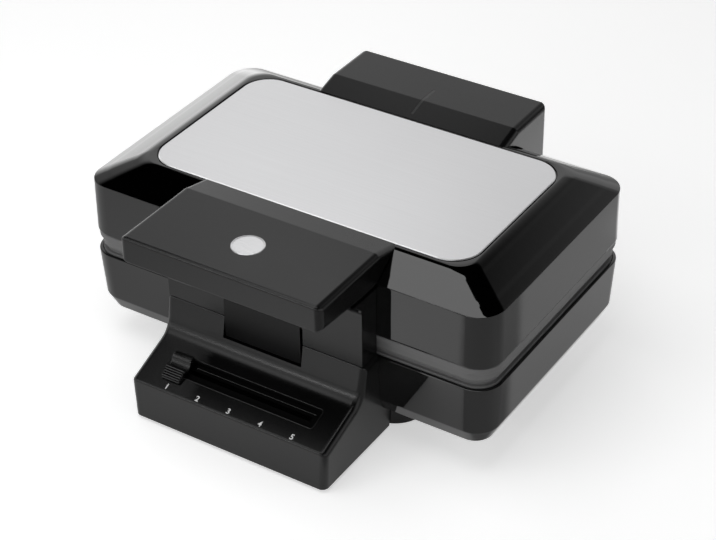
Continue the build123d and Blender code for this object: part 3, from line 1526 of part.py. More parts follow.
def rear_housing():
    """Matte rear block of the base, which carries the hinge barrel and the cord's inlet."""
    shell = across(rear_outline(0), BLOCK_WIDTH)
    shell = fillet(shell.edges().filter_by(Axis.Z).group_by(Axis.Y)[-1], BLOCK_CORNER)
    shell -= across(rear_outline(BLOCK_WALL), BLOCK_WIDTH - 2 * BLOCK_WALL)
    top = tower_top()
    for x, y in barrel_screw_places():
        shell -= post(SCREW_RADIUS, top - BLOCK_WALL - OVERCUT, top + OVERCUT, x, y)
    inlet_z = FOOT_HEIGHT + CORD_INLET_RISE
    inner = block_back - 2 * BLOCK_WALL
    shell -= rod_y(CORD_SLEEVE + SEAT / 2, inner, block_back + OVERCUT, CORD_INLET_X, inlet_z)
    face = -housing_boss_face()
    for x in housing_screw_places():
        shell += rod_y(BOSS_RADIUS, face, face + HOUSING_BOSS, x, housing_screw_z())
        shell -= rod_y(SCREW_RADIUS, pod_back - POD_WALL, face + HOUSING_BOSS + OVERCUT, x, housing_screw_z())
    return with_plate_bosses(shell, rear_plate_boss_places())


def housing_screw_places():
    """Screws that hold the front and rear blocks to the base housing."""
    return (HOUSING_SCREW_INSET - half_block, 0, half_block - HOUSING_SCREW_INSET)


def housing_screw_z():
    """Height of those screws."""
    return z_bevel + HOUSING_SCREW_RISE


def housing_boss_face():
    """Depth of the front housing's bosses against the base's leaning wall."""
    return base_wall_at(housing_screw_z() + BOSS_RADIUS) - SEAT


def housing_screws():
    """Screws from inside the base housing into the front and rear blocks."""
    screws = []
    z = housing_screw_z()
    wall = base_wall_at(z)
    for x in housing_screw_places():
        for side in (1, -1):
            inner = side * (wall + POD_WALL + SEAT)
            tip = side * (wall - HOUSING_BOSS + 2 * OVERCUT)
            screw = rod_y(SCREW_RADIUS - HOLE_PLAY, tip, inner + side * HEAD_HEIGHT, x, z)
            screw += rod_y(SCREW_HEAD, inner + side * SEAT, inner + side * HEAD_HEIGHT, x, z)
            screws.append(screw)
    return group(screws)


def cord_inlet_bush():
    """Gland ring in the rear housing's back wall, with a clear bore for a mains lead."""
    z = FOOT_HEIGHT + CORD_INLET_RISE
    bush = rod_y(CORD_SLEEVE, block_back - CORD_INLET_LENGTH, block_back, CORD_INLET_X, z)
    inner = block_back - BLOCK_WALL
    bush += rod_y(CORD_FLANGE, inner - BLOCK_WALL, inner - SEAT, CORD_INLET_X, z)
    start = block_back - CORD_INLET_LENGTH
    bush -= rod_y(CORD_BORE, start - OVERCUT, block_back + OVERCUT, CORD_INLET_X, z)
    return bush


def terminal_block():
    """Porcelain block on the base housing's floor where the mains lead ends."""
    low = z_belly + POD_WALL + SEAT
    x = POD_LENGTH / 2 - TERMINAL_INSET
    top = low + TERMINAL_HEIGHT
    body = block(TERMINAL_WIDTH, TERMINAL_LENGTH, TERMINAL_HEIGHT, x, 0, low)
    for y in (-TERMINAL_PITCH, 0, TERMINAL_PITCH):
        body -= rod_x(WIRE_BORE, 2 * TERMINAL_WIDTH, x, y, low + TERMINAL_HEIGHT / 2)
        body += post(SMALL_HEAD, top - OVERCUT, top + OVERCUT, x, y)
    return body


# Plates and feet under the blocks

def base_plate(front, back, boss_places, foot_places):
    """Flat cover let into the bottom of a block."""
    length = BLOCK_WIDTH - 2 * (BLOCK_WALL + SEAT)
    depth = back - front - 2 * SEAT
    outline = RectangleRounded(length, depth, BLOCK_CORNER / 2)
    plate = Pos(0, (front + back) / 2, FOOT_HEIGHT) * extrude(outline, amount=BASE_PLATE)
    under = FOOT_HEIGHT - OVERCUT
    above = FOOT_HEIGHT + BASE_PLATE + OVERCUT
    for x, y in boss_places:
        plate -= post(SMALL_SCREW + 2 * HOLE_PLAY, under, above, x, y)
        plate -= post(SMALL_HEAD + HOLE_PLAY, under, plate_head_level(), x, y)
    for x, y in foot_places:
        plate -= post(FOOT_STEM + PIN_FIT, under, above, x, y)
    return plate


def plate_head_level():
    """Height at which the heads of the base plates' screws seat."""
    return FOOT_HEIGHT + BASE_PLATE / 2


def front_bay():
    """Front and back of the opening under the control housing."""
    return handle_front + BLOCK_WALL, pod_front + BLOCK_TAIL - BLOCK_WALL


def rear_bay():
    """Front and back of the opening under the rear housing."""
    return pod_back - BLOCK_TAIL + BLOCK_WALL, block_back - BLOCK_WALL


def front_plate_boss_places():
    """Screws of the front base plate, at its back corners."""
    front, back = front_bay()
    x = half_block - BLOCK_WALL - PLATE_BOSS_INSET
    return [(-x, back - PLATE_BOSS_INSET), (x, back - PLATE_BOSS_INSET)]


def rear_plate_boss_places():
    """Screws of the rear base plate."""
    front, back = rear_bay()
    x = half_block - BLOCK_WALL - PLATE_BOSS_INSET
    return [(-x, front + PLATE_BOSS_INSET), (x, front + PLATE_BOSS_INSET)]


def foot_places():
    """Places of the four rubber feet."""
    x = half_block - FOOT_INSET_X
    front = handle_front + FOOT_INSET_Y
    back = block_back - FOOT_INSET_Y
    return [(-x, front), (x, front), (-x, back), (x, back)]


def front_base_plate():
    """Cover under the control housing."""
    front, back = front_bay()
    return base_plate(front, back, front_plate_boss_places(), foot_places()[:2])


def rear_base_plate():
    """Cover under the rear housing."""
    front, back = rear_bay()
    return base_plate(front, back, rear_plate_boss_places(), foot_places()[2:])


def base_plate_screws():
    """Screws of the two base plates."""
    screws = []
    for x, y in front_plate_boss_places() + rear_plate_boss_places():
        screw = post(SMALL_SCREW, FOOT_HEIGHT + SEAT, plate_screw_tip(), x, y)
        screw += post(SMALL_HEAD, FOOT_HEIGHT + SEAT, plate_head_level() - SEAT / 2, x, y)
        screws.append(screw)
    return group(screws)


def rubber_feet():
    """Four rubber feet, each with a stem pushed through its plate."""
    feet = []
    for x, y in foot_places():
        foot = post(FOOT_RADIUS, 0, FOOT_HEIGHT - SEAT / 2, x, y)
        foot = fillet(foot.faces().sort_by(Axis.Z)[0].edges(), FOOT_ROUND)
        foot += post(FOOT_STEM, FOOT_HEIGHT - OVERCUT, FOOT_HEIGHT + BASE_PLATE + SEAT, x, y)
        feet.append(foot)
    return group(feet)


# Everything, by the name of its node

pieces = {
    "base_housing": base_housing(),
    "belly_pan": belly_pan(),
    "belly_screws": belly_screws(),
    "base_rim": base_rim(),
    "lower_rim_screws": mirrored_up(upper_rim_screws()),
    "lower_waffle_plate": mirrored_up(waffle_plate()),
    "lower_plate_screws": mirrored_up(plate_screws()),
    "lower_element": mirrored_up(heating_element()),
    "lower_element_clips": mirrored_up(element_clips()),
    "lower_reflector": mirrored_up(reflector()),
    "temperature_sensor": temperature_sensor(),
    "thermal_fuse": thermal_fuse(),
    "terminal_block": terminal_block(),
    "control_housing": control_housing(),
    "latch_keeper": latch_keeper(),
    "slider_track": slider_track(),
    "slider_knob": slider_knob(),
    "slider_carrier": slider_carrier(),
    "slide_potentiometer": slide_potentiometer(),
    "control_board": control_board(),
    "board_screws": board_screws(),
    "front_base_plate": front_base_plate(),
    "rear_housing": rear_housing(),
    "hinge_barrel": hinge_barrel(),
    "barrel_screws": barrel_screws(),
    "rear_base_plate": rear_base_plate(),
    "base_plate_screws": base_plate_screws(),
    "housing_screws": housing_screws(),
    "hinge_pins": hinge_pins(),
    "cord_inlet_bush": cord_inlet_bush(),
    "rubber_feet": rubber_feet(),
    "lid_housing": lid_housing(),
    "steel_cover": steel_cover(),
    "lid_rim": lid_rim(),
    "upper_rim_screws": upper_rim_screws(),
    "upper_waffle_plate": waffle_plate(),
    "upper_plate_screws": plate_screws(),
    "upper_element": heating_element(),
    "upper_element_clips": element_clips(),
    "upper_reflector": reflector(),
    "handle_cover": handle_cover(),
    "handle_base": handle_base(),
    "handle_screws": handle_screws(),
    "badge_disc": badge_disc(),
    "latch_flap": latch_flap(),
    "latch_pin": latch_pin(),
    "latch_spring": latch_spring(),
    "hinge_cover": hinge_cover(),
    "hinge_cover_screws": hinge_cover_screws(),
    "hinge_brackets": hinge_brackets(),
    "bracket_screws": bracket_screws(),
    "indicator_lens": indicator_lens(),
    "lamp_board": lamp_board(),
}

os.makedirs("parts", exist_ok=True)
for name, piece in pieces.items():
    export_step(Pos(0, pod_shift, 0) * piece, f"parts/{name}.step")
print("hinge axis", round(hinge_y + pod_shift, 3), round(hinge_z, 3))
print("latch axis", round(latch_pin_y() + pod_shift, 3), round(latch_pin_z(), 3))
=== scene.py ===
import bmesh
import bpy
from math import cos, pi, radians, sin
from mathutils import Matrix, Vector


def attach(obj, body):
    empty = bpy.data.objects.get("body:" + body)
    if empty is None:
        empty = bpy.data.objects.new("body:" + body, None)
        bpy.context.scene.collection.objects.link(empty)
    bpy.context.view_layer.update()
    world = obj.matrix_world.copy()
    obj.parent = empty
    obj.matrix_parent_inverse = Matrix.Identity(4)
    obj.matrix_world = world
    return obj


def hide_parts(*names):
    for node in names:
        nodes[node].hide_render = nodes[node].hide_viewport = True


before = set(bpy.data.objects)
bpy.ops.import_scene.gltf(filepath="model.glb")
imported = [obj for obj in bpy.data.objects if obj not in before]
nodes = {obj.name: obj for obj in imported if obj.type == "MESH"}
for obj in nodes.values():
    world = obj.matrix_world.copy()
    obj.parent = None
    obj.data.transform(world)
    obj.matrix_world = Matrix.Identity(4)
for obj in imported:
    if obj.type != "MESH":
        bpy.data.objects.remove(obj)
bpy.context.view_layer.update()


# Camera. A long lens a metre and a half away, to the right of the front and well above the lid.
# It looks at the middle of the machine, a little above the counter, and leans a touch to one side.
camera_target = Vector((0.0, 0.01726, 0.05639))
camera_distance = 1.4916
camera_azimuth = radians(32.82)
camera_elevation = radians(34.76)
camera_roll = radians(-0.74)

camera_data = bpy.data.cameras.new("camera")
camera_data.sensor_width = 36.0
camera_data.lens = 100.06
camera = bpy.data.objects.new("camera", camera_data)
turned = Matrix.Rotation(camera_azimuth, 4, "Z") @ Matrix.Rotation(radians(90) - camera_elevation, 4, "X")
away = turned.col[2].to_3d() * camera_distance
leaning = turned @ Matrix.Rotation(camera_roll, 4, "Z")
camera.matrix_world = Matrix.Translation(camera_target + away) @ leaning
bpy.context.scene.collection.objects.link(camera)
bpy.context.scene.camera = camera


# Studio walls. A white horizon that darkens towards the ceiling, a grey flag high on the left, a dark
# curtain and a thin drape on the right, and a duller wall behind, as the glossy black shells mirror
# them. The camera sees plain white.
def place(tree, kind, sockets=None, **settings):
    """Adds a shader node, sets its properties and fills its inputs with values or links."""
    made = tree.nodes.new("ShaderNode" + kind)
    for key, value in settings.items():
        setattr(made, key, value)
    for key, value in (sockets or {}).items():
        if isinstance(value, bpy.types.NodeSocket):
            tree.links.new(value, made.inputs[key])
        else:
            made.inputs[key].default_value = value
    return made


def combine(tree, a, b, operation="ADD"):
    """Two values or sockets put through a Math node."""
    return place(tree, "Math", {0: a, 1: b}, operation=operation).outputs[0]


def fade(tree, value, start, end, low=0.0, high=1.0):
    """A smooth step of a value between two levels."""
    sockets = {"Value": value, "From Min": start, "From Max": end, "To Min": low, "To Max": high}
    return place(tree, "MapRange", sockets, interpolation_type="SMOOTHSTEP").outputs["Result"]


horizon_level = 0.93
curtain_level = 0.06
drape_shade = 0.48
back_wall_shade = 0.40
strip_level = 1.1

world = bpy.data.worlds.new("studio")
world.use_nodes = True
bpy.context.scene.world = world
bpy.context.scene.view_settings.view_transform = "Standard"
tree = world.node_tree
direction = place(tree, "SeparateXYZ", {0: place(tree, "TexCoord").outputs["Generated"]}).outputs
ceiling = fade(tree, direction["Z"], 0.53, 0.73, horizon_level, 0.0)
flag_side = fade(tree, direction["X"], -0.88, -0.64, 0.40, 1.0)
flag_height = fade(tree, direction["Z"], 0.24, 0.40, 1.0, 0.0)
flag = combine(tree, flag_side, flag_height, "MAXIMUM")
curtain_left = fade(tree, direction["X"], 0.42, 0.58, 1.0, curtain_level)
curtain_right = fade(tree, direction["X"], 0.66, 0.78)
curtain = combine(tree, curtain_left, curtain_right, "MAXIMUM")
drape_side = fade(tree, direction["X"], -0.05, 0.15)
drape_height = fade(tree, direction["Z"], 0.46, 0.52)
drape_fold = combine(tree, drape_side, drape_height, "MULTIPLY")
drape = combine(tree, 1.0, combine(tree, drape_fold, drape_shade, "MULTIPLY"), "SUBTRACT")
back_side = fade(tree, direction["Y"], 0.76, 0.88)
back_height = fade(tree, direction["Z"], 0.28, 0.16, 0.0, back_wall_shade)
back_wall = combine(tree, 1.0, combine(tree, back_side, back_height, "MULTIPLY"), "SUBTRACT")
strip_height = fade(tree, direction["Z"], 0.34, 0.0, 0.0, strip_level)
strip_side = fade(tree, direction["X"], -0.50, -0.64)
strip = combine(tree, strip_height, strip_side, "MULTIPLY")
hung = combine(tree, combine(tree, curtain, drape, "MULTIPLY"), back_wall, "MULTIPLY")
level = combine(tree, combine(tree, ceiling, flag, "MULTIPLY"), hung, "MULTIPLY")
path = place(tree, "LightPath").outputs
mirrored_strip = combine(tree, strip, path["Is Glossy Ray"], "MULTIPLY")
strength = combine(tree, combine(tree, level, mirrored_strip), path["Is Camera Ray"], "MAXIMUM")
tree.links.new(strength, tree.nodes["Background"].inputs["Strength"])
tree.nodes["Background"].inputs["Color"].default_value = (1, 1, 1, 1)


# Studio lamps. A large softbox hangs over the front. A small one stands before it for the hollow of the
# ledge, a narrow strip for the creases, and a weak one hangs behind for the slope of the hinge block.
def softbox(name, width, length, power, spot, aim):
    """A rectangular soft lamp at a spot, aimed at a point and hidden from the camera."""
    data = bpy.data.lights.new(name, "AREA")
    data.shape = "RECTANGLE"
    data.size = width
    data.size_y = length
    data.energy = power
    made = bpy.data.objects.new(name, data)
    made.location = spot
    made.rotation_euler = (Vector(spot) - Vector(aim)).to_track_quat("Z", "Y").to_euler()
    made.visible_camera = False
    bpy.context.scene.collection.objects.link(made)


softbox("overhead_softbox", 0.90, 0.70, 4.5, (-0.13, -0.24, 1.10), (-0.13, -0.2401, 0.0))
softbox("front_softbox", 0.36, 0.36, 0.75, (-0.54, -0.72, 0.90), (0.0, -0.10, 0.05))
softbox("front_strip", 0.60, 0.06, 0.9, (-0.26, -1.00, 0.40), (0.05, -0.10, 0.12))
softbox("rear_softbox", 0.45, 0.50, 0.6, (-0.58, 0.74, 1.10), (-0.58, 0.7399, 0.0))


# Floor. A white counter that runs out of sight. In the shells' reflections alone it glows with painted
# light, brighter ahead and far behind, with painted shade close in front and beside them, and a painted
# shadow over its right-hand front, out of the picture.
floor_half = 3.0
counter_white = 0.86
camera_glow_level = 0.52
far_left_glow = 1.4
right_behind_glow = 0.8
painted_shadow_depth = 0.04
beside_shade = 0.10
painted_shadow_edge = Vector((0.1245, -0.1291))
painted_shadow_along = Vector((0.4706, 0.8824))

floor_mesh = bpy.data.meshes.new("floor")
floor_mesh.from_pydata([(-floor_half, -floor_half, 0), (floor_half, -floor_half, 0),
                        (floor_half, floor_half, 0), (-floor_half, floor_half, 0)], [], [(0, 1, 2, 3)])
floor = bpy.data.objects.new("floor", floor_mesh)
bpy.context.scene.collection.objects.link(floor)

floor_paint = bpy.data.materials.new("white_counter")
floor_paint.use_nodes = True
tree = floor_paint.node_tree
shader = tree.nodes["Principled BSDF"]
shader.inputs["Roughness"].default_value = 0.9
path = place(tree, "LightPath").outputs
spread = place(tree, "SeparateXYZ", {0: place(tree, "TexCoord").outputs["Object"]}).outputs
# A painted shadow, seen only in reflections, darkens the counter's right-hand front beyond a straight edge.
across_x = combine(tree, combine(tree, spread["X"], painted_shadow_edge.x, "SUBTRACT"), painted_shadow_along.y, "MULTIPLY")
across_y = combine(tree, combine(tree, spread["Y"], painted_shadow_edge.y, "SUBTRACT"), painted_shadow_along.x, "MULTIPLY")
across = combine(tree, across_x, across_y, "SUBTRACT")
painted_shadow = fade(tree, across, -0.004, 0.004)
mirrored_painted_shadow = combine(tree, painted_shadow, path["Is Glossy Ray"], "MULTIPLY")
# Painted light for reflections only: the counter glows brighter ahead and far behind, and dimmer close in
# front of the machine as painted shade.
leftward = fade(tree, spread["X"], -0.30, 0.02, 0.10, 0.62)
forward = fade(tree, spread["Y"], -0.21, -0.12, 1.0, 0.48)
far_left = combine(tree, fade(tree, spread["X"], -0.30, -0.60), fade(tree, spread["Y"], 0.2, 0.5), "MULTIPLY")
far_glow = combine(tree, far_left, far_left_glow, "MULTIPLY")
ahead = combine(tree, combine(tree, leftward, forward, "MULTIPLY"), far_glow)
behind = combine(tree, fade(tree, spread["X"], 0.26, 0.20), fade(tree, spread["Y"], 0.22, 0.28), "MULTIPLY")
right_behind = combine(tree, behind, fade(tree, spread["X"], 0.05, 0.10), "MULTIPLY")
ahead = combine(tree, ahead, combine(tree, right_behind, right_behind_glow, "MULTIPLY"))
glossy_glow = combine(tree, ahead, combine(tree, 1.0, painted_shadow, "SUBTRACT"), "MULTIPLY")
camera_glow = combine(tree, path["Is Camera Ray"], camera_glow_level, "MULTIPLY")
mirror_glow = combine(tree, path["Is Glossy Ray"], glossy_glow, "MULTIPLY")
glow = combine(tree, camera_glow, mirror_glow)
colour = place(tree, "CombineXYZ", {0: glow, 1: glow, 2: glow}).outputs[0]
tree.links.new(colour, shader.inputs["Emission Color"])
shader.inputs["Emission Strength"].default_value = 1.0
# Painted shade for reflections only: the counter is darker beside the machine on its right.
beside = combine(tree, fade(tree, spread["X"], 0.10, 0.20), fade(tree, spread["Y"], -0.06, 0.0), "MULTIPLY")
mirrored_beside = combine(tree, beside, path["Is Glossy Ray"], "MULTIPLY")
shaded = combine(tree, mirrored_beside, beside_shade, "MULTIPLY")
darker = combine(tree, combine(tree, mirrored_painted_shadow, painted_shadow_depth, "MULTIPLY"), shaded)
white = combine(tree, counter_white, darker, "SUBTRACT")
paint = place(tree, "CombineXYZ", {0: white, 1: white, 2: white}).outputs[0]
tree.links.new(paint, shader.inputs["Base Color"])
floor_mesh.materials.append(floor_paint)


# Rubber feet and cord inlet bush. Soft black rubber: four pads on the counter under the front and rear
# corners, pushed into the base plates by their stems, and the grommet in the back wall.
def effect(name, inputs, outputs):
    """A shader node group, with its named inputs and outputs."""
    group = bpy.data.node_groups.new(name, "ShaderNodeTree")
    for label, value in inputs.items():
        kind = "NodeSocketColor" if isinstance(value, tuple) else "NodeSocketFloat"
        socket = group.interface.new_socket(name=label, in_out="INPUT", socket_type=kind)
        socket.default_value = value
    for label, kind in outputs.items():
        group.interface.new_socket(name=label, in_out="OUTPUT", socket_type=kind)
    start = group.nodes.new("NodeGroupInput").outputs
    end = group.nodes.new("NodeGroupOutput").inputs
    return group, start, end


def tint(tree, factor, first, second, blend="MIX"):
    """A colour between two others."""
    sockets = {0: factor, 6: first, 7: second}
    return place(tree, "Mix", sockets, data_type="RGBA", blend_type=blend).outputs[2]


def noise(tree, scale, detail=2.0, stretch=None, rough=0.55):
    """Noise over the piece's own coordinates, in features per metre, drawn out along an axis if told."""
    spot = place(tree, "TexCoord").outputs["Object"]
    if stretch:
        spot = place(tree, "VectorMath", {0: spot, 1: stretch}, operation="MULTIPLY").outputs[0]
    sockets = {"Vector": spot, "Scale": scale, "Detail": detail, "Roughness": rough}
    return place(tree, "TexNoise", sockets).outputs[0]


def finish(name, roughness, metallic=0.0, ior=1.5):
    """A material, its node tree and its Principled shader."""
    made = bpy.data.materials.new(name)
    made.use_nodes = True
    shader = made.node_tree.nodes["Principled BSDF"]
    shader.inputs["Roughness"].default_value = roughness
    shader.inputs["Metallic"].default_value = metallic
    shader.inputs["IOR"].default_value = ior
    return made, made.node_tree, shader


def relief(tree, shader, height, depth, normal=None):
    """A height put on the surface as bump, with its depth in metres."""
    bump = place(tree, "Bump", {"Height": height, "Distance": depth, "Strength": 1.0})
    if normal is not None:
        tree.links.new(normal, bump.inputs["Normal"])
    tree.links.new(bump.outputs["Normal"], shader.inputs["Normal"])


def dress(material, *names):
    """Gives CAD nodes their finish."""
    for name in names:
        nodes[name].data.materials.clear()
        nodes[name].data.materials.append(material)


grain_group, start, end = effect(
    "moulded_grain",
    {"Colour": (0.01, 0.01, 0.01, 1.0), "Roughness": 0.5, "Grain": 1500.0, "Variation": 0.1},
    {"Colour": "NodeSocketColor", "Roughness": "NodeSocketFloat", "Height": "NodeSocketFloat"},
)
tree = grain_group
fine = noise(tree, start["Grain"], 3.0)
broad = noise(tree, 28.0, 2.0)
swing = combine(tree, combine(tree, broad, 0.5, "SUBTRACT"), start["Variation"], "MULTIPLY")
speck = combine(tree, combine(tree, fine, 0.5, "SUBTRACT"), start["Variation"], "MULTIPLY")
tree.links.new(combine(tree, start["Roughness"], combine(tree, swing, speck)), end["Roughness"])
lift = combine(tree, 1.0, combine(tree, swing, 2.0, "MULTIPLY"))
grey = place(tree, "CombineXYZ", {0: lift, 1: lift, 2: lift}).outputs[0]
tree.links.new(tint(tree, 1.0, start["Colour"], grey, "MULTIPLY"), end["Colour"])
tree.links.new(fine, end["Height"])


def moulded(name, colour, roughness, grain, depth, variation=0.1, ior=1.5):
    """A moulded material with a fine grain, in metres of depth."""
    made, tree, shader = finish(name, roughness, 0.0, ior)
    sockets = {"Colour": (*colour, 1.0), "Roughness": roughness, "Grain": grain, "Variation": variation}
    skin = place(tree, "Group", node_tree=grain_group)
    for key, value in sockets.items():
        skin.inputs[key].default_value = value
    tree.links.new(skin.outputs["Colour"], shader.inputs["Base Color"])
    tree.links.new(skin.outputs["Roughness"], shader.inputs["Roughness"])
    relief(tree, shader, skin.outputs["Height"], depth)
    return made


rubber = moulded("black_rubber", (0.018, 0.018, 0.018), 0.72, 900.0, 0.00006, 0.2)
dress(rubber, "rubber_feet", "cord_inlet_bush")


# Screws and element clips. Steel pressings and self-tapping screws with bright zinc
# plating, which has gone a little cloudy, and a dull line where the plating is thin.
plating_group, start, end = effect(
    "zinc_plating",
    {"Colour": (0.6, 0.6, 0.62, 1.0), "Roughness": 0.35, "Spangle": 260.0},
    {"Colour": "NodeSocketColor", "Roughness": "NodeSocketFloat"},
)
tree = plating_group
spot = place(tree, "TexCoord").outputs["Object"]
cell = place(tree, "TexVoronoi", {"Vector": spot, "Scale": start["Spangle"]}).outputs["Color"]
cloud = place(tree, "SeparateXYZ", {0: cell}).outputs["X"]
stain = fade(tree, noise(tree, 90.0, 4.0), 0.45, 0.75)
tree.links.new(tint(tree, stain, start["Colour"], (0.36, 0.35, 0.33, 1.0)), end["Colour"])
rough = combine(tree, start["Roughness"], combine(tree, cloud, 0.14, "MULTIPLY"))
tree.links.new(combine(tree, rough, combine(tree, stain, 0.18, "MULTIPLY")), end["Roughness"])


def plated(name, colour, roughness, spangle):
    """A plated or milled metal with cloudy patches."""
    made, tree, shader = finish(name, roughness, 1.0)
    skin = place(tree, "Group", node_tree=plating_group)
    skin.inputs["Colour"].default_value = (*colour, 1.0)
    skin.inputs["Roughness"].default_value = roughness
    skin.inputs["Spangle"].default_value = spangle
    tree.links.new(skin.outputs["Colour"], shader.inputs["Base Color"])
    tree.links.new(skin.outputs["Roughness"], shader.inputs["Roughness"])
    relief(tree, shader, noise(tree, 1400.0, 2.0), 0.00002)
    return made


zinc = plated("bright_zinc", (0.62, 0.63, 0.65), 0.30, 420.0)
screws = [name for name in nodes if name.endswith("_screws")]
dress(zinc, "lower_element_clips", "upper_element_clips", *screws)


# Blocks in front and behind: control housing, rear housing, hinge barrel, base plates and belly pan.
# Black ABS from a tool with a fine satin etch, with a painted highlight and a little polish along its
# edges. The flats stay flat right up to the rounded edges.
highlight_and_wear_group, start, end = effect(
    "edge_highlight_and_wear",
    {"Colour": (0.003, 0.003, 0.003, 1.0), "Highlight_and_worn": (0.05, 0.05, 0.05, 1.0), "Amount": 0.5},
    {"Colour": "NodeSocketColor", "Mask": "NodeSocketFloat"},
)
tree = highlight_and_wear_group
# Convex edges make a mask that tints the colour lighter: a painted highlight on the satin plastics, wear on
# the waffle plates.
eased = place(tree, "Bevel", {"Radius": 0.0006}, samples=3).outputs[0]
flat = place(tree, "NewGeometry").outputs["True Normal"]
same = place(tree, "VectorMath", {0: eased, 1: flat}, operation="DOT_PRODUCT").outputs["Value"]
edge = fade(tree, same, 0.995, 0.88)
broken = fade(tree, noise(tree, 240.0, 3.0), 0.30, 0.62)
mask = combine(tree, combine(tree, edge, broken, "MULTIPLY"), start["Amount"], "MULTIPLY")
tree.links.new(mask, end["Mask"])
tree.links.new(tint(tree, mask, start["Colour"], start["Highlight_and_worn"]), end["Colour"])


def satin_plastic(name, colour, roughness, edge_highlight, ior=1.41):
    """Satin black plastic: a fine etch, uneven sheen, and a painted highlight along smoother edges."""
    made = moulded(name, colour, roughness, 2600.0, 0.000012, 0.06, ior)
    tree = made.node_tree
    shader = tree.nodes["Principled BSDF"]
    grain = shader.inputs["Base Color"].links[0].from_socket
    sheen = shader.inputs["Roughness"].links[0].from_socket
    highlit_and_worn_edges = place(tree, "Group", {"Colour": grain}, node_tree=highlight_and_wear_group)
    highlit_and_worn_edges.inputs["Amount"].default_value = edge_highlight
    tree.links.new(highlit_and_worn_edges.outputs["Colour"], shader.inputs["Base Color"])
    polish = combine(tree, sheen, combine(tree, highlit_and_worn_edges.outputs["Mask"], 0.10, "MULTIPLY"), "SUBTRACT")
    tree.links.new(polish, shader.inputs["Roughness"])
    return made


block = satin_plastic("satin_black_plastic", (0.0024, 0.0024, 0.0025), 0.25, 0.35)
dress(block, "control_housing", "rear_housing", "hinge_barrel", "front_base_plate", "rear_base_plate",
      "belly_pan", "hinge_cover", "handle_cover", "handle_base")
for name in ("control_housing", "rear_housing", "hinge_cover", "handle_cover", "handle_base"):
    crisp = nodes[name].modifiers.new("weighted_normals", "WEIGHTED_NORMAL")
    crisp.keep_sharp = True
    crisp.weight = 90
# The latch flap's edges carry the same painted highlight.
flap_skin = satin_plastic("latch_flap_plastic", (0.0020, 0.0020, 0.0021), 0.30, 0.35, 1.28)
dress(flap_skin, "latch_flap")


# Base shell. One glossy black moulding: a floor with the belly opening, a bevel all round, and a wall
# that widens upwards. Its edges are rounded as the tool left them, and it is wiped clean, not polished.
middle = 0.0154


def outline(half_x, half_y, corner, z, steps=14):
    """The points of a rounded rectangle round the pod's middle. In mm."""
    points = []
    for turn in range(4):
        sign_x = (1, -1, -1, 1)[turn]
        sign_y = (1, 1, -1, -1)[turn]
        for step in range(steps + 1):
            angle = pi / 2 * (turn + step / steps)
            x = sign_x * (half_x - corner) + corner * cos(angle)
            y = sign_y * (half_y - corner) + corner * sin(angle)
            points.append(Vector((x / 1000, y / 1000 + middle, z / 1000)))
    return points


def skin_of(name, rings, material, body, closed=False, sharp=35):
    """A mesh skinned over rings of points, its ends capped or joined to each other."""
    mesh = bpy.data.meshes.new(name)
    made = bpy.data.objects.new(name, mesh)
    bpy.context.scene.collection.objects.link(made)
    shape = bmesh.new()
    loops = [[shape.verts.new(point) for point in ring] for ring in rings]
    count = len(rings[0])
    pairs = list(zip(loops, loops[1:]))
    if closed:
        pairs.append((loops[-1], loops[0]))
    for low, high in pairs:
        for here in range(count):
            after = (here + 1) % count
            shape.faces.new((low[here], low[after], high[after], high[here]))
    if not closed:
        shape.faces.new(list(reversed(loops[0])))
        shape.faces.new(loops[-1])
    bmesh.ops.recalc_face_normals(shape, faces=shape.faces)
    for face in shape.faces:
        face.smooth = True
    for line in shape.edges:
        if len(line.link_faces) == 2 and line.calc_face_angle() > radians(sharp):
            line.smooth = False
    shape.to_mesh(mesh)
    shape.free()
    mesh.materials.append(material)
    weighted = made.modifiers.new("weighted_normals", "WEIGHTED_NORMAL")
    weighted.keep_sharp = True
    weighted.weight = 90
    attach(made, body)
    return made


gloss_group, start, end = effect(
    "wiped_gloss",
    {"Colour": (0.001, 0.001, 0.001, 1.0), "Roughness": 0.06, "Dust": 0.5, "Streaks": 0.03},
    {"Colour": "NodeSocketColor", "Roughness": "NodeSocketFloat", "Height": "NodeSocketFloat"},
)
tree = gloss_group
wipe = noise(tree, 60.0, 4.0, (1.0, 5.0, 3.0))
streaks = combine(tree, combine(tree, wipe, 0.45, "SUBTRACT"), start["Streaks"], "MULTIPLY")
tree.links.new(combine(tree, start["Roughness"], streaks), end["Roughness"])
spot = place(tree, "TexCoord").outputs["Object"]
grit = place(tree, "TexVoronoi", {"Vector": spot, "Scale": 260.0, "Randomness": 1.0}).outputs["Distance"]
where = fade(tree, noise(tree, 45.0, 2.0), 0.56, 0.70)
dust = combine(tree, fade(tree, grit, 0.045, 0.015), where, "MULTIPLY")
dusted = combine(tree, dust, start["Dust"], "MULTIPLY")
tree.links.new(tint(tree, dusted, start["Colour"], (0.10, 0.10, 0.10, 1.0)), end["Colour"])
tree.links.new(noise(tree, 110.0, 2.0), end["Height"])

gloss, tree, shader = finish("gloss_black_plastic", 0.05, 0.0, 1.60)
skin = place(tree, "Group", node_tree=gloss_group)
skin.inputs["Colour"].default_value = (0.0004, 0.0004, 0.0004, 1.0)
skin.inputs["Roughness"].default_value = 0.042
skin.inputs["Dust"].default_value = 0.35
tree.links.new(skin.outputs["Colour"], shader.inputs["Base Color"])
tree.links.new(skin.outputs["Roughness"], shader.inputs["Roughness"])
relief(tree, shader, skin.outputs["Height"], 0.000012)

base_bottom = 25.0
base_bevel_top = 37.0
base_top = 76.0
base_half_x = 170.5
base_half_y = 103.0
belly_opening = (78.2, 66.2, 24.0)
shell_wall = 2.6


def base_ring(inset, corner, z):
    """One ring of the base's wall, set in from its widest outline."""
    return outline(base_half_x - inset, base_half_y - inset, corner, z)


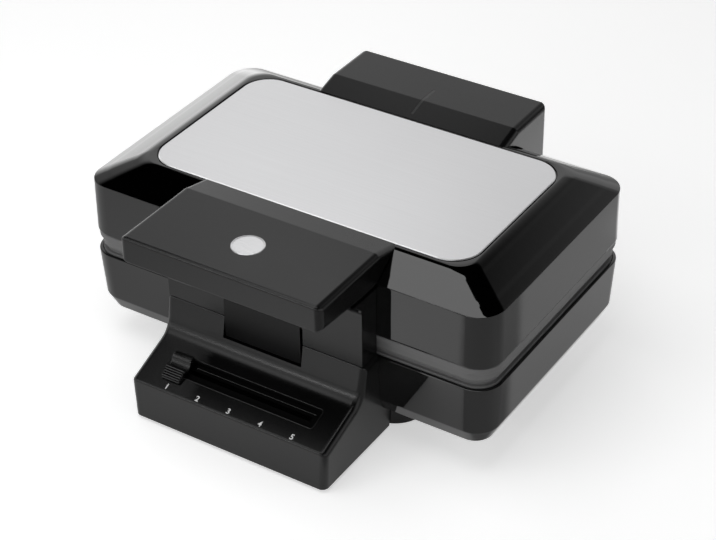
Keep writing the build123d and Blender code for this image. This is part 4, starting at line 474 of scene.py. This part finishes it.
base_rings = [
    outline(*belly_opening, base_bottom),
    base_ring(9.7, 12.8, base_bottom),
    base_ring(8.3, 13.4, base_bottom + 0.2),
    base_ring(7.6, 13.8, base_bottom + 1.0),
    base_ring(2.6, 18.1, base_bevel_top - 0.9),
    base_ring(2.1, 18.4, base_bevel_top),
    base_ring(2.0, 18.4, base_bevel_top + 0.9),
    base_ring(0.0, 19.4, base_top - 1.0),
    base_ring(0.1, 19.4, base_top - 0.35),
    base_ring(0.6, 19.0, base_top),
    base_ring(2.1, 18.0, base_top),
    base_ring(2.5, 17.8, base_top - 0.5),
    outline(166.0, 98.4, 16.0, base_bevel_top + 0.6),
    outline(161.0, 93.4, 12.6, base_bottom + shell_wall),
    outline(*belly_opening, base_bottom + shell_wall),
]
base_shell = skin_of("base_shell", base_rings, gloss, "base", closed=True)
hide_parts("base_housing")


# Rims, slider track, carrier and potentiometer. The rims are of glass-filled nylon, greyer and flatter
# than the shells, and stand next to the hot plates. The slider's parts are of a plain black nylon.
rim = moulded("glass_filled_nylon", (0.150, 0.150, 0.150), 0.48, 1900.0, 0.00002, 0.12, 1.5)
dress(rim, "base_rim", "lid_rim")
dark_nylon = moulded("dark_nylon", (0.0012, 0.0012, 0.0012), 0.55, 1900.0, 0.00002, 0.08, 1.35)
dark_nylon.node_tree.nodes["Principled BSDF"].inputs["Specular IOR Level"].default_value = 0.1
dress(dark_nylon, "slider_track", "slider_carrier", "slide_potentiometer")


# Waffle plates. Cast aluminium with a black non-stick coat that is sprayed and baked, so it has a fine
# orange peel with paler specks, and it is worn a little along the ridges of the grid.
coat_group, start, end = effect(
    "baked_coat",
    {"Colour": (0.02, 0.02, 0.02, 1.0), "Roughness": 0.4},
    {"Colour": "NodeSocketColor", "Roughness": "NodeSocketFloat", "Height": "NodeSocketFloat"},
)
tree = coat_group
spot = place(tree, "TexCoord").outputs["Object"]
fleck = place(tree, "TexVoronoi", {"Vector": spot, "Scale": 700.0}).outputs["Distance"]
flecks = fade(tree, fleck, 0.16, 0.08)
tree.links.new(tint(tree, flecks, start["Colour"], (0.16, 0.16, 0.17, 1.0)), end["Colour"])
peel = noise(tree, 800.0, 2.0)
tree.links.new(combine(tree, start["Roughness"], combine(tree, peel, 0.16, "MULTIPLY")), end["Roughness"])
tree.links.new(combine(tree, peel, noise(tree, 120.0, 2.0)), end["Height"])

plate_coat, tree, shader = finish("baked_nonstick_coat", 0.40)
skin = place(tree, "Group", node_tree=coat_group)
skin.inputs["Colour"].default_value = (0.022, 0.022, 0.023, 1.0)
skin.inputs["Roughness"].default_value = 0.30
highlit_and_worn_edges = place(tree, "Group", {"Colour": skin.outputs["Colour"]}, node_tree=highlight_and_wear_group)
highlit_and_worn_edges.inputs["Highlight_and_worn"].default_value = (0.13, 0.12, 0.115, 1.0)
highlit_and_worn_edges.inputs["Amount"].default_value = 0.6
tree.links.new(highlit_and_worn_edges.outputs["Colour"], shader.inputs["Base Color"])
tree.links.new(skin.outputs["Roughness"], shader.inputs["Roughness"])
relief(tree, shader, skin.outputs["Height"], 0.00004)
dress(plate_coat, "lower_waffle_plate", "upper_waffle_plate")


# Heating. Tubular elements of oxidised alloy steel, dull green-grey with heat tint near the bends,
# lie in reflector pans of bright rolled aluminium. The sensors are nickel cans, the block is steatite.
element_skin, tree, shader = finish("oxidised_alloy_tube", 0.55, 1.0)
tempered = fade(tree, noise(tree, 32.0, 3.0), 0.42, 0.66)
tree.links.new(tint(tree, tempered, (0.17, 0.18, 0.15, 1.0), (0.26, 0.17, 0.11, 1.0)),
               shader.inputs["Base Color"])
relief(tree, shader, noise(tree, 1500.0, 3.0), 0.00003)
dress(element_skin, "lower_element", "upper_element")

lines_group, start, end = effect(
    "brushed_lines",
    {"Colour": (0.8, 0.8, 0.8, 1.0), "Roughness": 0.3, "Lines": 900.0, "Contrast": 0.1},
    {"Colour": "NodeSocketColor", "Roughness": "NodeSocketFloat", "Height": "NodeSocketFloat"},
)
tree = lines_group
scratch = noise(tree, start["Lines"], 3.0, (0.012, 1.0, 1.0), 0.7)
cloudy = noise(tree, 9.0, 2.0)
lean = combine(tree, combine(tree, scratch, 0.5, "SUBTRACT"), start["Contrast"], "MULTIPLY")
drift = combine(tree, combine(tree, cloudy, 0.5, "SUBTRACT"), 0.06, "MULTIPLY")
shade = combine(tree, 1.0, combine(tree, lean, drift))
grey = place(tree, "CombineXYZ", {0: shade, 1: shade, 2: shade}).outputs[0]
tree.links.new(tint(tree, 1.0, start["Colour"], grey, "MULTIPLY"), end["Colour"])
tree.links.new(combine(tree, start["Roughness"], combine(tree, lean, 0.8, "MULTIPLY")), end["Roughness"])
tree.links.new(scratch, end["Height"])


def brushed(name, colour, roughness, lines, contrast, depth):
    """A sheet metal with fine lines along the machine's length."""
    made, tree, shader = finish(name, roughness, 1.0)
    skin = place(tree, "Group", node_tree=lines_group)
    skin.inputs["Colour"].default_value = (*colour, 1.0)
    skin.inputs["Roughness"].default_value = roughness
    skin.inputs["Lines"].default_value = lines
    skin.inputs["Contrast"].default_value = contrast
    tree.links.new(skin.outputs["Colour"], shader.inputs["Base Color"])
    tree.links.new(skin.outputs["Roughness"], shader.inputs["Roughness"])
    relief(tree, shader, skin.outputs["Height"], depth)
    return made


reflector = brushed("rolled_aluminium", (0.80, 0.80, 0.81), 0.22, 500.0, 0.12, 0.00001)
dress(reflector, "lower_reflector", "upper_reflector")
dress(plated("nickel_can", (0.66, 0.63, 0.58), 0.28, 300.0), "temperature_sensor", "thermal_fuse")
steatite = moulded("steatite", (0.62, 0.59, 0.52), 0.62, 1300.0, 0.00004, 0.15)
dress(steatite, "terminal_block")


# Circuit boards. Glass-epoxy laminate under green solder mask, with the weave just showing through.
# One carries the slider's potentiometer, the small one the two lamps under the indicator.
board_skin, tree, shader = finish("solder_mask", 0.35)
spot = place(tree, "TexCoord").outputs["Object"]
weave = place(tree, "TexChecker", {"Vector": spot, "Scale": 1600.0}).outputs["Fac"]
tracks = fade(tree, noise(tree, 260.0, 1.0, (1.0, 0.25, 1.0)), 0.50, 0.56)
tree.links.new(tint(tree, tracks, (0.010, 0.075, 0.032, 1.0), (0.016, 0.12, 0.05, 1.0)),
               shader.inputs["Base Color"])
relief(tree, shader, combine(tree, tracks, combine(tree, weave, 0.2, "MULTIPLY")), 0.00003)
dress(board_skin, "control_board", "lamp_board")


# Hinge and catch metal. The brackets are die-cast zinc, tumbled grey, and the hinge pins, the latch
# pin, its spring and the keeper are drawn steel with a passivated, faintly yellow sheen.
dress(plated("die_cast_zinc", (0.38, 0.38, 0.39), 0.48, 180.0), "hinge_brackets")
dress(plated("passivated_steel", (0.60, 0.58, 0.52), 0.30, 520.0),
      "hinge_pins", "latch_keeper", "latch_pin", "latch_spring")


# Slider slot. The track is sunk in the ledge's slope. A bead runs round the slot's lip and a thin rail
# guides the knob, both of them of the same satin plastic as the ledge.
slope_middle = Vector((0.0, -0.1340, 0.04312))
slope_tilt = radians(20.6)
slope_frame = Matrix.Translation(slope_middle) @ Matrix.Rotation(slope_tilt, 4, "X")


def on_slope(x, along, rise):
    """A point on the ledge's slope: to the right, up the slope, and off its surface. In mm."""
    return slope_frame @ Vector((x / 1000, along / 1000, rise / 1000))


def bead(name, path, thickness, material, closed):
    """A round bead of plastic drawn along a path, as a mesh."""
    line = bpy.data.curves.new(name, "CURVE")
    line.dimensions = "3D"
    line.bevel_depth = thickness / 2000
    line.bevel_resolution = 3
    line.use_fill_caps = True
    spline = line.splines.new("POLY")
    spline.points.add(len(path) - 1)
    for point, spot in zip(spline.points, path):
        point.co = (*spot, 1.0)
    spline.use_cyclic_u = closed
    drawn = bpy.data.objects.new(name + "_line", line)
    bpy.context.scene.collection.objects.link(drawn)
    bpy.context.view_layer.update()
    mesh = bpy.data.meshes.new_from_object(drawn.evaluated_get(bpy.context.evaluated_depsgraph_get()))
    bpy.data.objects.remove(drawn)
    mesh.name = name
    made = bpy.data.objects.new(name, mesh)
    bpy.context.scene.collection.objects.link(made)
    for face in mesh.polygons:
        face.use_smooth = True
    mesh.materials.append(material)
    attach(made, "base")


slot_half_length = 63.2
slot_low = -8.0
slot_high = 8.9
slot_corner = 2.2
bead_thickness = 0.8
rail_thickness = 0.7
rail_along = 3.2
rail_sink = -0.15
slot_path = []
for turn in range(4):
    centre_x = (1, -1, -1, 1)[turn] * (slot_half_length - slot_corner)
    centre_v = (slot_high, slot_high, slot_low, slot_low)[turn] - (1, 1, -1, -1)[turn] * slot_corner
    for step in range(7):
        angle = pi / 2 * (turn + step / 6)
        slot_path.append(on_slope(centre_x + slot_corner * cos(angle),
                                  centre_v + slot_corner * sin(angle), 0.05))
bead("slot_bead", slot_path, bead_thickness, block, True)
rail_path = [on_slope(x, rail_along, rail_sink) for x in (-41.0, 0.0, 60.2)]
bead("slot_rail", rail_path, rail_thickness, block, False)


# Slider knob. A satin black moulding that is pushed on to the carrier: a smooth pad at the back, a
# scoop for the fingertip, and five grip ribs in front that step down to the slope.
knob_middle = -53.5
knob_half = 8.0
knob_centre = -2.8
knob_foot = 0.7
rib_count = 5
rib_pitch = 1.75
first_rib = -13.4
first_crest = 3.0
rib_climb = 0.42
knob_profile = [(-14.0, knob_foot), (-14.2, 1.6), (-13.6, 2.2)]
for rib in range(rib_count):
    foot = first_rib + rib * rib_pitch
    crest = first_crest + rib_climb * rib
    knob_profile += [(foot, crest - 1.1), (foot + 0.3, crest + 0.1), (foot + 0.9, crest + 0.3),
                     (foot + 1.25, crest - 1.0)]
knob_profile += [(-4.0, 2.4), (-2.4, 1.9), (-0.4, 1.9), (1.2, 2.6), (2.4, 4.4), (3.4, 5.3), (4.6, 5.7),
                 (6.6, 5.6), (7.8, 5.0), (8.4, 4.0), (8.5, 3.0), (8.5, knob_foot)]
knob_rings = []
knob_ends = [(0.0, 0.90, 0.5), (0.35, 0.97, 0.15), (0.8, 1.0, 0.0)]
knob_slices = [(-1, *end) for end in knob_ends] + [(1, *end) for end in reversed(knob_ends)]
for side, inset, shrink, drop in knob_slices:
    x = knob_middle + side * (knob_half - inset)
    knob_rings.append([on_slope(x, (along - knob_centre) * shrink + knob_centre, max(knob_foot, rise - drop))
                       for along, rise in knob_profile])
# The knob's ribs and edges carry a strong painted highlight.
knob_skin = satin_plastic("satin_knob_plastic", (0.004, 0.004, 0.004), 0.20, 0.9)
knob = skin_of("browning_knob", knob_rings, knob_skin, "slider", sharp=40)
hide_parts("slider_knob")


# Numerals 1 to 5. White pad print on the slope, in front of the slot, one for each browning level.
# They are a little over four millimetres high and stand evenly along the knob's travel.
print_ink = moulded("white_pad_print", (0.86, 0.86, 0.86), 0.55, 3000.0, 0.00001, 0.06)
numeral_height = 4.2
numeral_pitch = 26.7
numeral_along = -19.0
capital_share = 0.70
for count in range(5):
    text = bpy.data.curves.new("numeral", "FONT")
    text.body = str(count + 1)
    text.size = numeral_height / 1000 / capital_share
    text.align_x = "CENTER"
    text.align_y = "CENTER"
    text.extrude = 0.00003
    text.offset = 0.00014
    shown = bpy.data.objects.new("numeral_text", text)
    bpy.context.scene.collection.objects.link(shown)
    across = numeral_pitch * (count - 2)
    shown.matrix_world = slope_frame @ Matrix.Translation((across / 1000, numeral_along / 1000, 0.00006))
    bpy.context.view_layer.update()
    mesh = bpy.data.meshes.new_from_object(shown.evaluated_get(bpy.context.evaluated_depsgraph_get()))
    mesh.transform(shown.matrix_world)
    bpy.data.objects.remove(shown)
    numeral = bpy.data.objects.new("numeral_" + str(count + 1), mesh)
    bpy.context.scene.collection.objects.link(numeral)
    mesh.materials.clear()
    mesh.materials.append(print_ink)
    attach(numeral, "base")


# Lid shell. The upper glossy moulding: a wall that leans inwards a little, a crisp crease, and a crown
# that is almost level beside the steel, bends, and falls straight to the crease like a hipped roof.
lid_bottom = 93.5
lid_crease = 136.3
crown_rise = 14.8
pocket_floor = 149.75
lid_half_x = 170.3
lid_half_y = 102.8
bend_end = 0.24


def crown_drop(out):
    """How far the crown has fallen, as a share of its rise, from the steel's edge out to the crease."""
    total = 0.0
    share = 0.0
    for step in range(200):
        here = (step + 0.5) / 200
        bend = min(1.0, here / bend_end)
        slope = 0.30 + 0.78 * bend * bend * (3 - 2 * bend) + 0.16 * here
        total += slope / 200
        if here < out:
            share += slope / 200
    return share / total


def crown_ring(out, sink=0.0, shrink=0.0):
    """One ring of the crown, or of its inner face if it is sunk and shrunk."""
    half_x = 135.5 + (169.7 - 135.5) * out - shrink
    half_y = 75.0 + (102.2 - 75.0) * out - shrink
    corner = 24.0 if out == 0 else 14.0 + 5.1 * out
    return outline(half_x, half_y, max(3.0, corner - shrink), lid_crease + crown_rise
                   - crown_rise * crown_drop(out) - sink)


def lid_ring(inset, corner, z):
    """One ring of the lid's wall, set in from its widest outline."""
    return outline(lid_half_x - inset, lid_half_y - inset, corner, z)


lid_rings = [
    outline(120.0, 60.0, 20.0, 146.6),
    crown_ring(0.0, 2.8, 1.0),
    crown_ring(0.3, 2.8, 1.0),
    crown_ring(1.0, 2.8, 2.2),
    lid_ring(2.6, 17.0, lid_bottom + 0.5),
    lid_ring(2.2, 17.4, lid_bottom),
    lid_ring(0.7, 18.9, lid_bottom),
    lid_ring(0.1, 19.4, lid_bottom + 0.5),
    lid_ring(0.0, 19.5, lid_bottom + 1.4),
    lid_ring(0.3, 19.5, lid_crease - 1.0),
    lid_ring(0.33, 19.5, lid_crease - 0.45),
    lid_ring(0.44, 19.4, lid_crease - 0.12),
]
crown_count = 22
for step in range(crown_count, -1, -1):
    lid_rings.append(crown_ring(step / crown_count if step else 0.012))
lid_rings += [
    outline(135.0, 74.5, 23.5, 151.08),
    outline(134.6, 74.1, 23.1, 150.8),
    outline(134.5, 74.0, 23.0, 147.9),
    outline(133.2, 72.7, 21.8, 147.9),
    outline(133.2, 72.7, 21.8, pocket_floor),
    outline(120.0, 60.0, 20.0, pocket_floor),
]
lid_shell = skin_of("lid_shell", lid_rings, gloss, "lid", sharp=50)
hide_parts("lid_housing")


# Steel cover. A sheet of stainless steel with a fine satin brush along its length, pressed with a soft
# edge and bonded into the crown's pocket with a narrow dark gap all round.
steel = brushed("satin_stainless", (0.80, 0.80, 0.81), 0.33, 900.0, 0.10, 0.000006)
dress(steel, "steel_cover")


# Badge. A plain disc of spun aluminium, dished a little inside a raised rim.
# It is pressed into its seat in the handle's top.
badge_y = -134.3
badge_sides = 96
badge_skin = brushed("spun_aluminium", (0.70, 0.70, 0.71), 0.26, 1500.0, 0.16, 0.000006)
badge_profile = [(11.6, 156.55), (11.95, 156.8), (11.95, 157.2), (11.8, 157.42), (11.5, 157.5),
                 (11.1, 157.46), (10.8, 157.34), (10.5, 157.28), (6.0, 157.31), (1.0, 157.32)]
badge_rings = []
for reach, z in badge_profile:
    ring = []
    for turn in range(badge_sides):
        angle = 2 * pi * turn / badge_sides
        y = badge_y + reach * sin(angle)
        ring.append(Vector((reach * cos(angle) / 1000, y / 1000 + middle, z / 1000)))
    badge_rings.append(ring)
badge = skin_of("badge", badge_rings, badge_skin, "lid", sharp=60)
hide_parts("badge_disc")


# Indicator lens. A slim bar of smoked acrylic, let into the top of the hinge cover across its crease.
# The lamps behind it are off.
lens_skin, tree, shader = finish("smoked_acrylic", 0.30, 0.0, 1.49)
haze = fade(tree, noise(tree, 300.0, 2.0), 0.3, 0.7)
tree.links.new(tint(tree, haze, (0.016, 0.016, 0.016, 1.0), (0.028, 0.028, 0.028, 1.0)),
               shader.inputs["Base Color"])
relief(tree, shader, noise(tree, 500.0, 2.0), 0.00001)
dress(lens_skin, "indicator_lens")
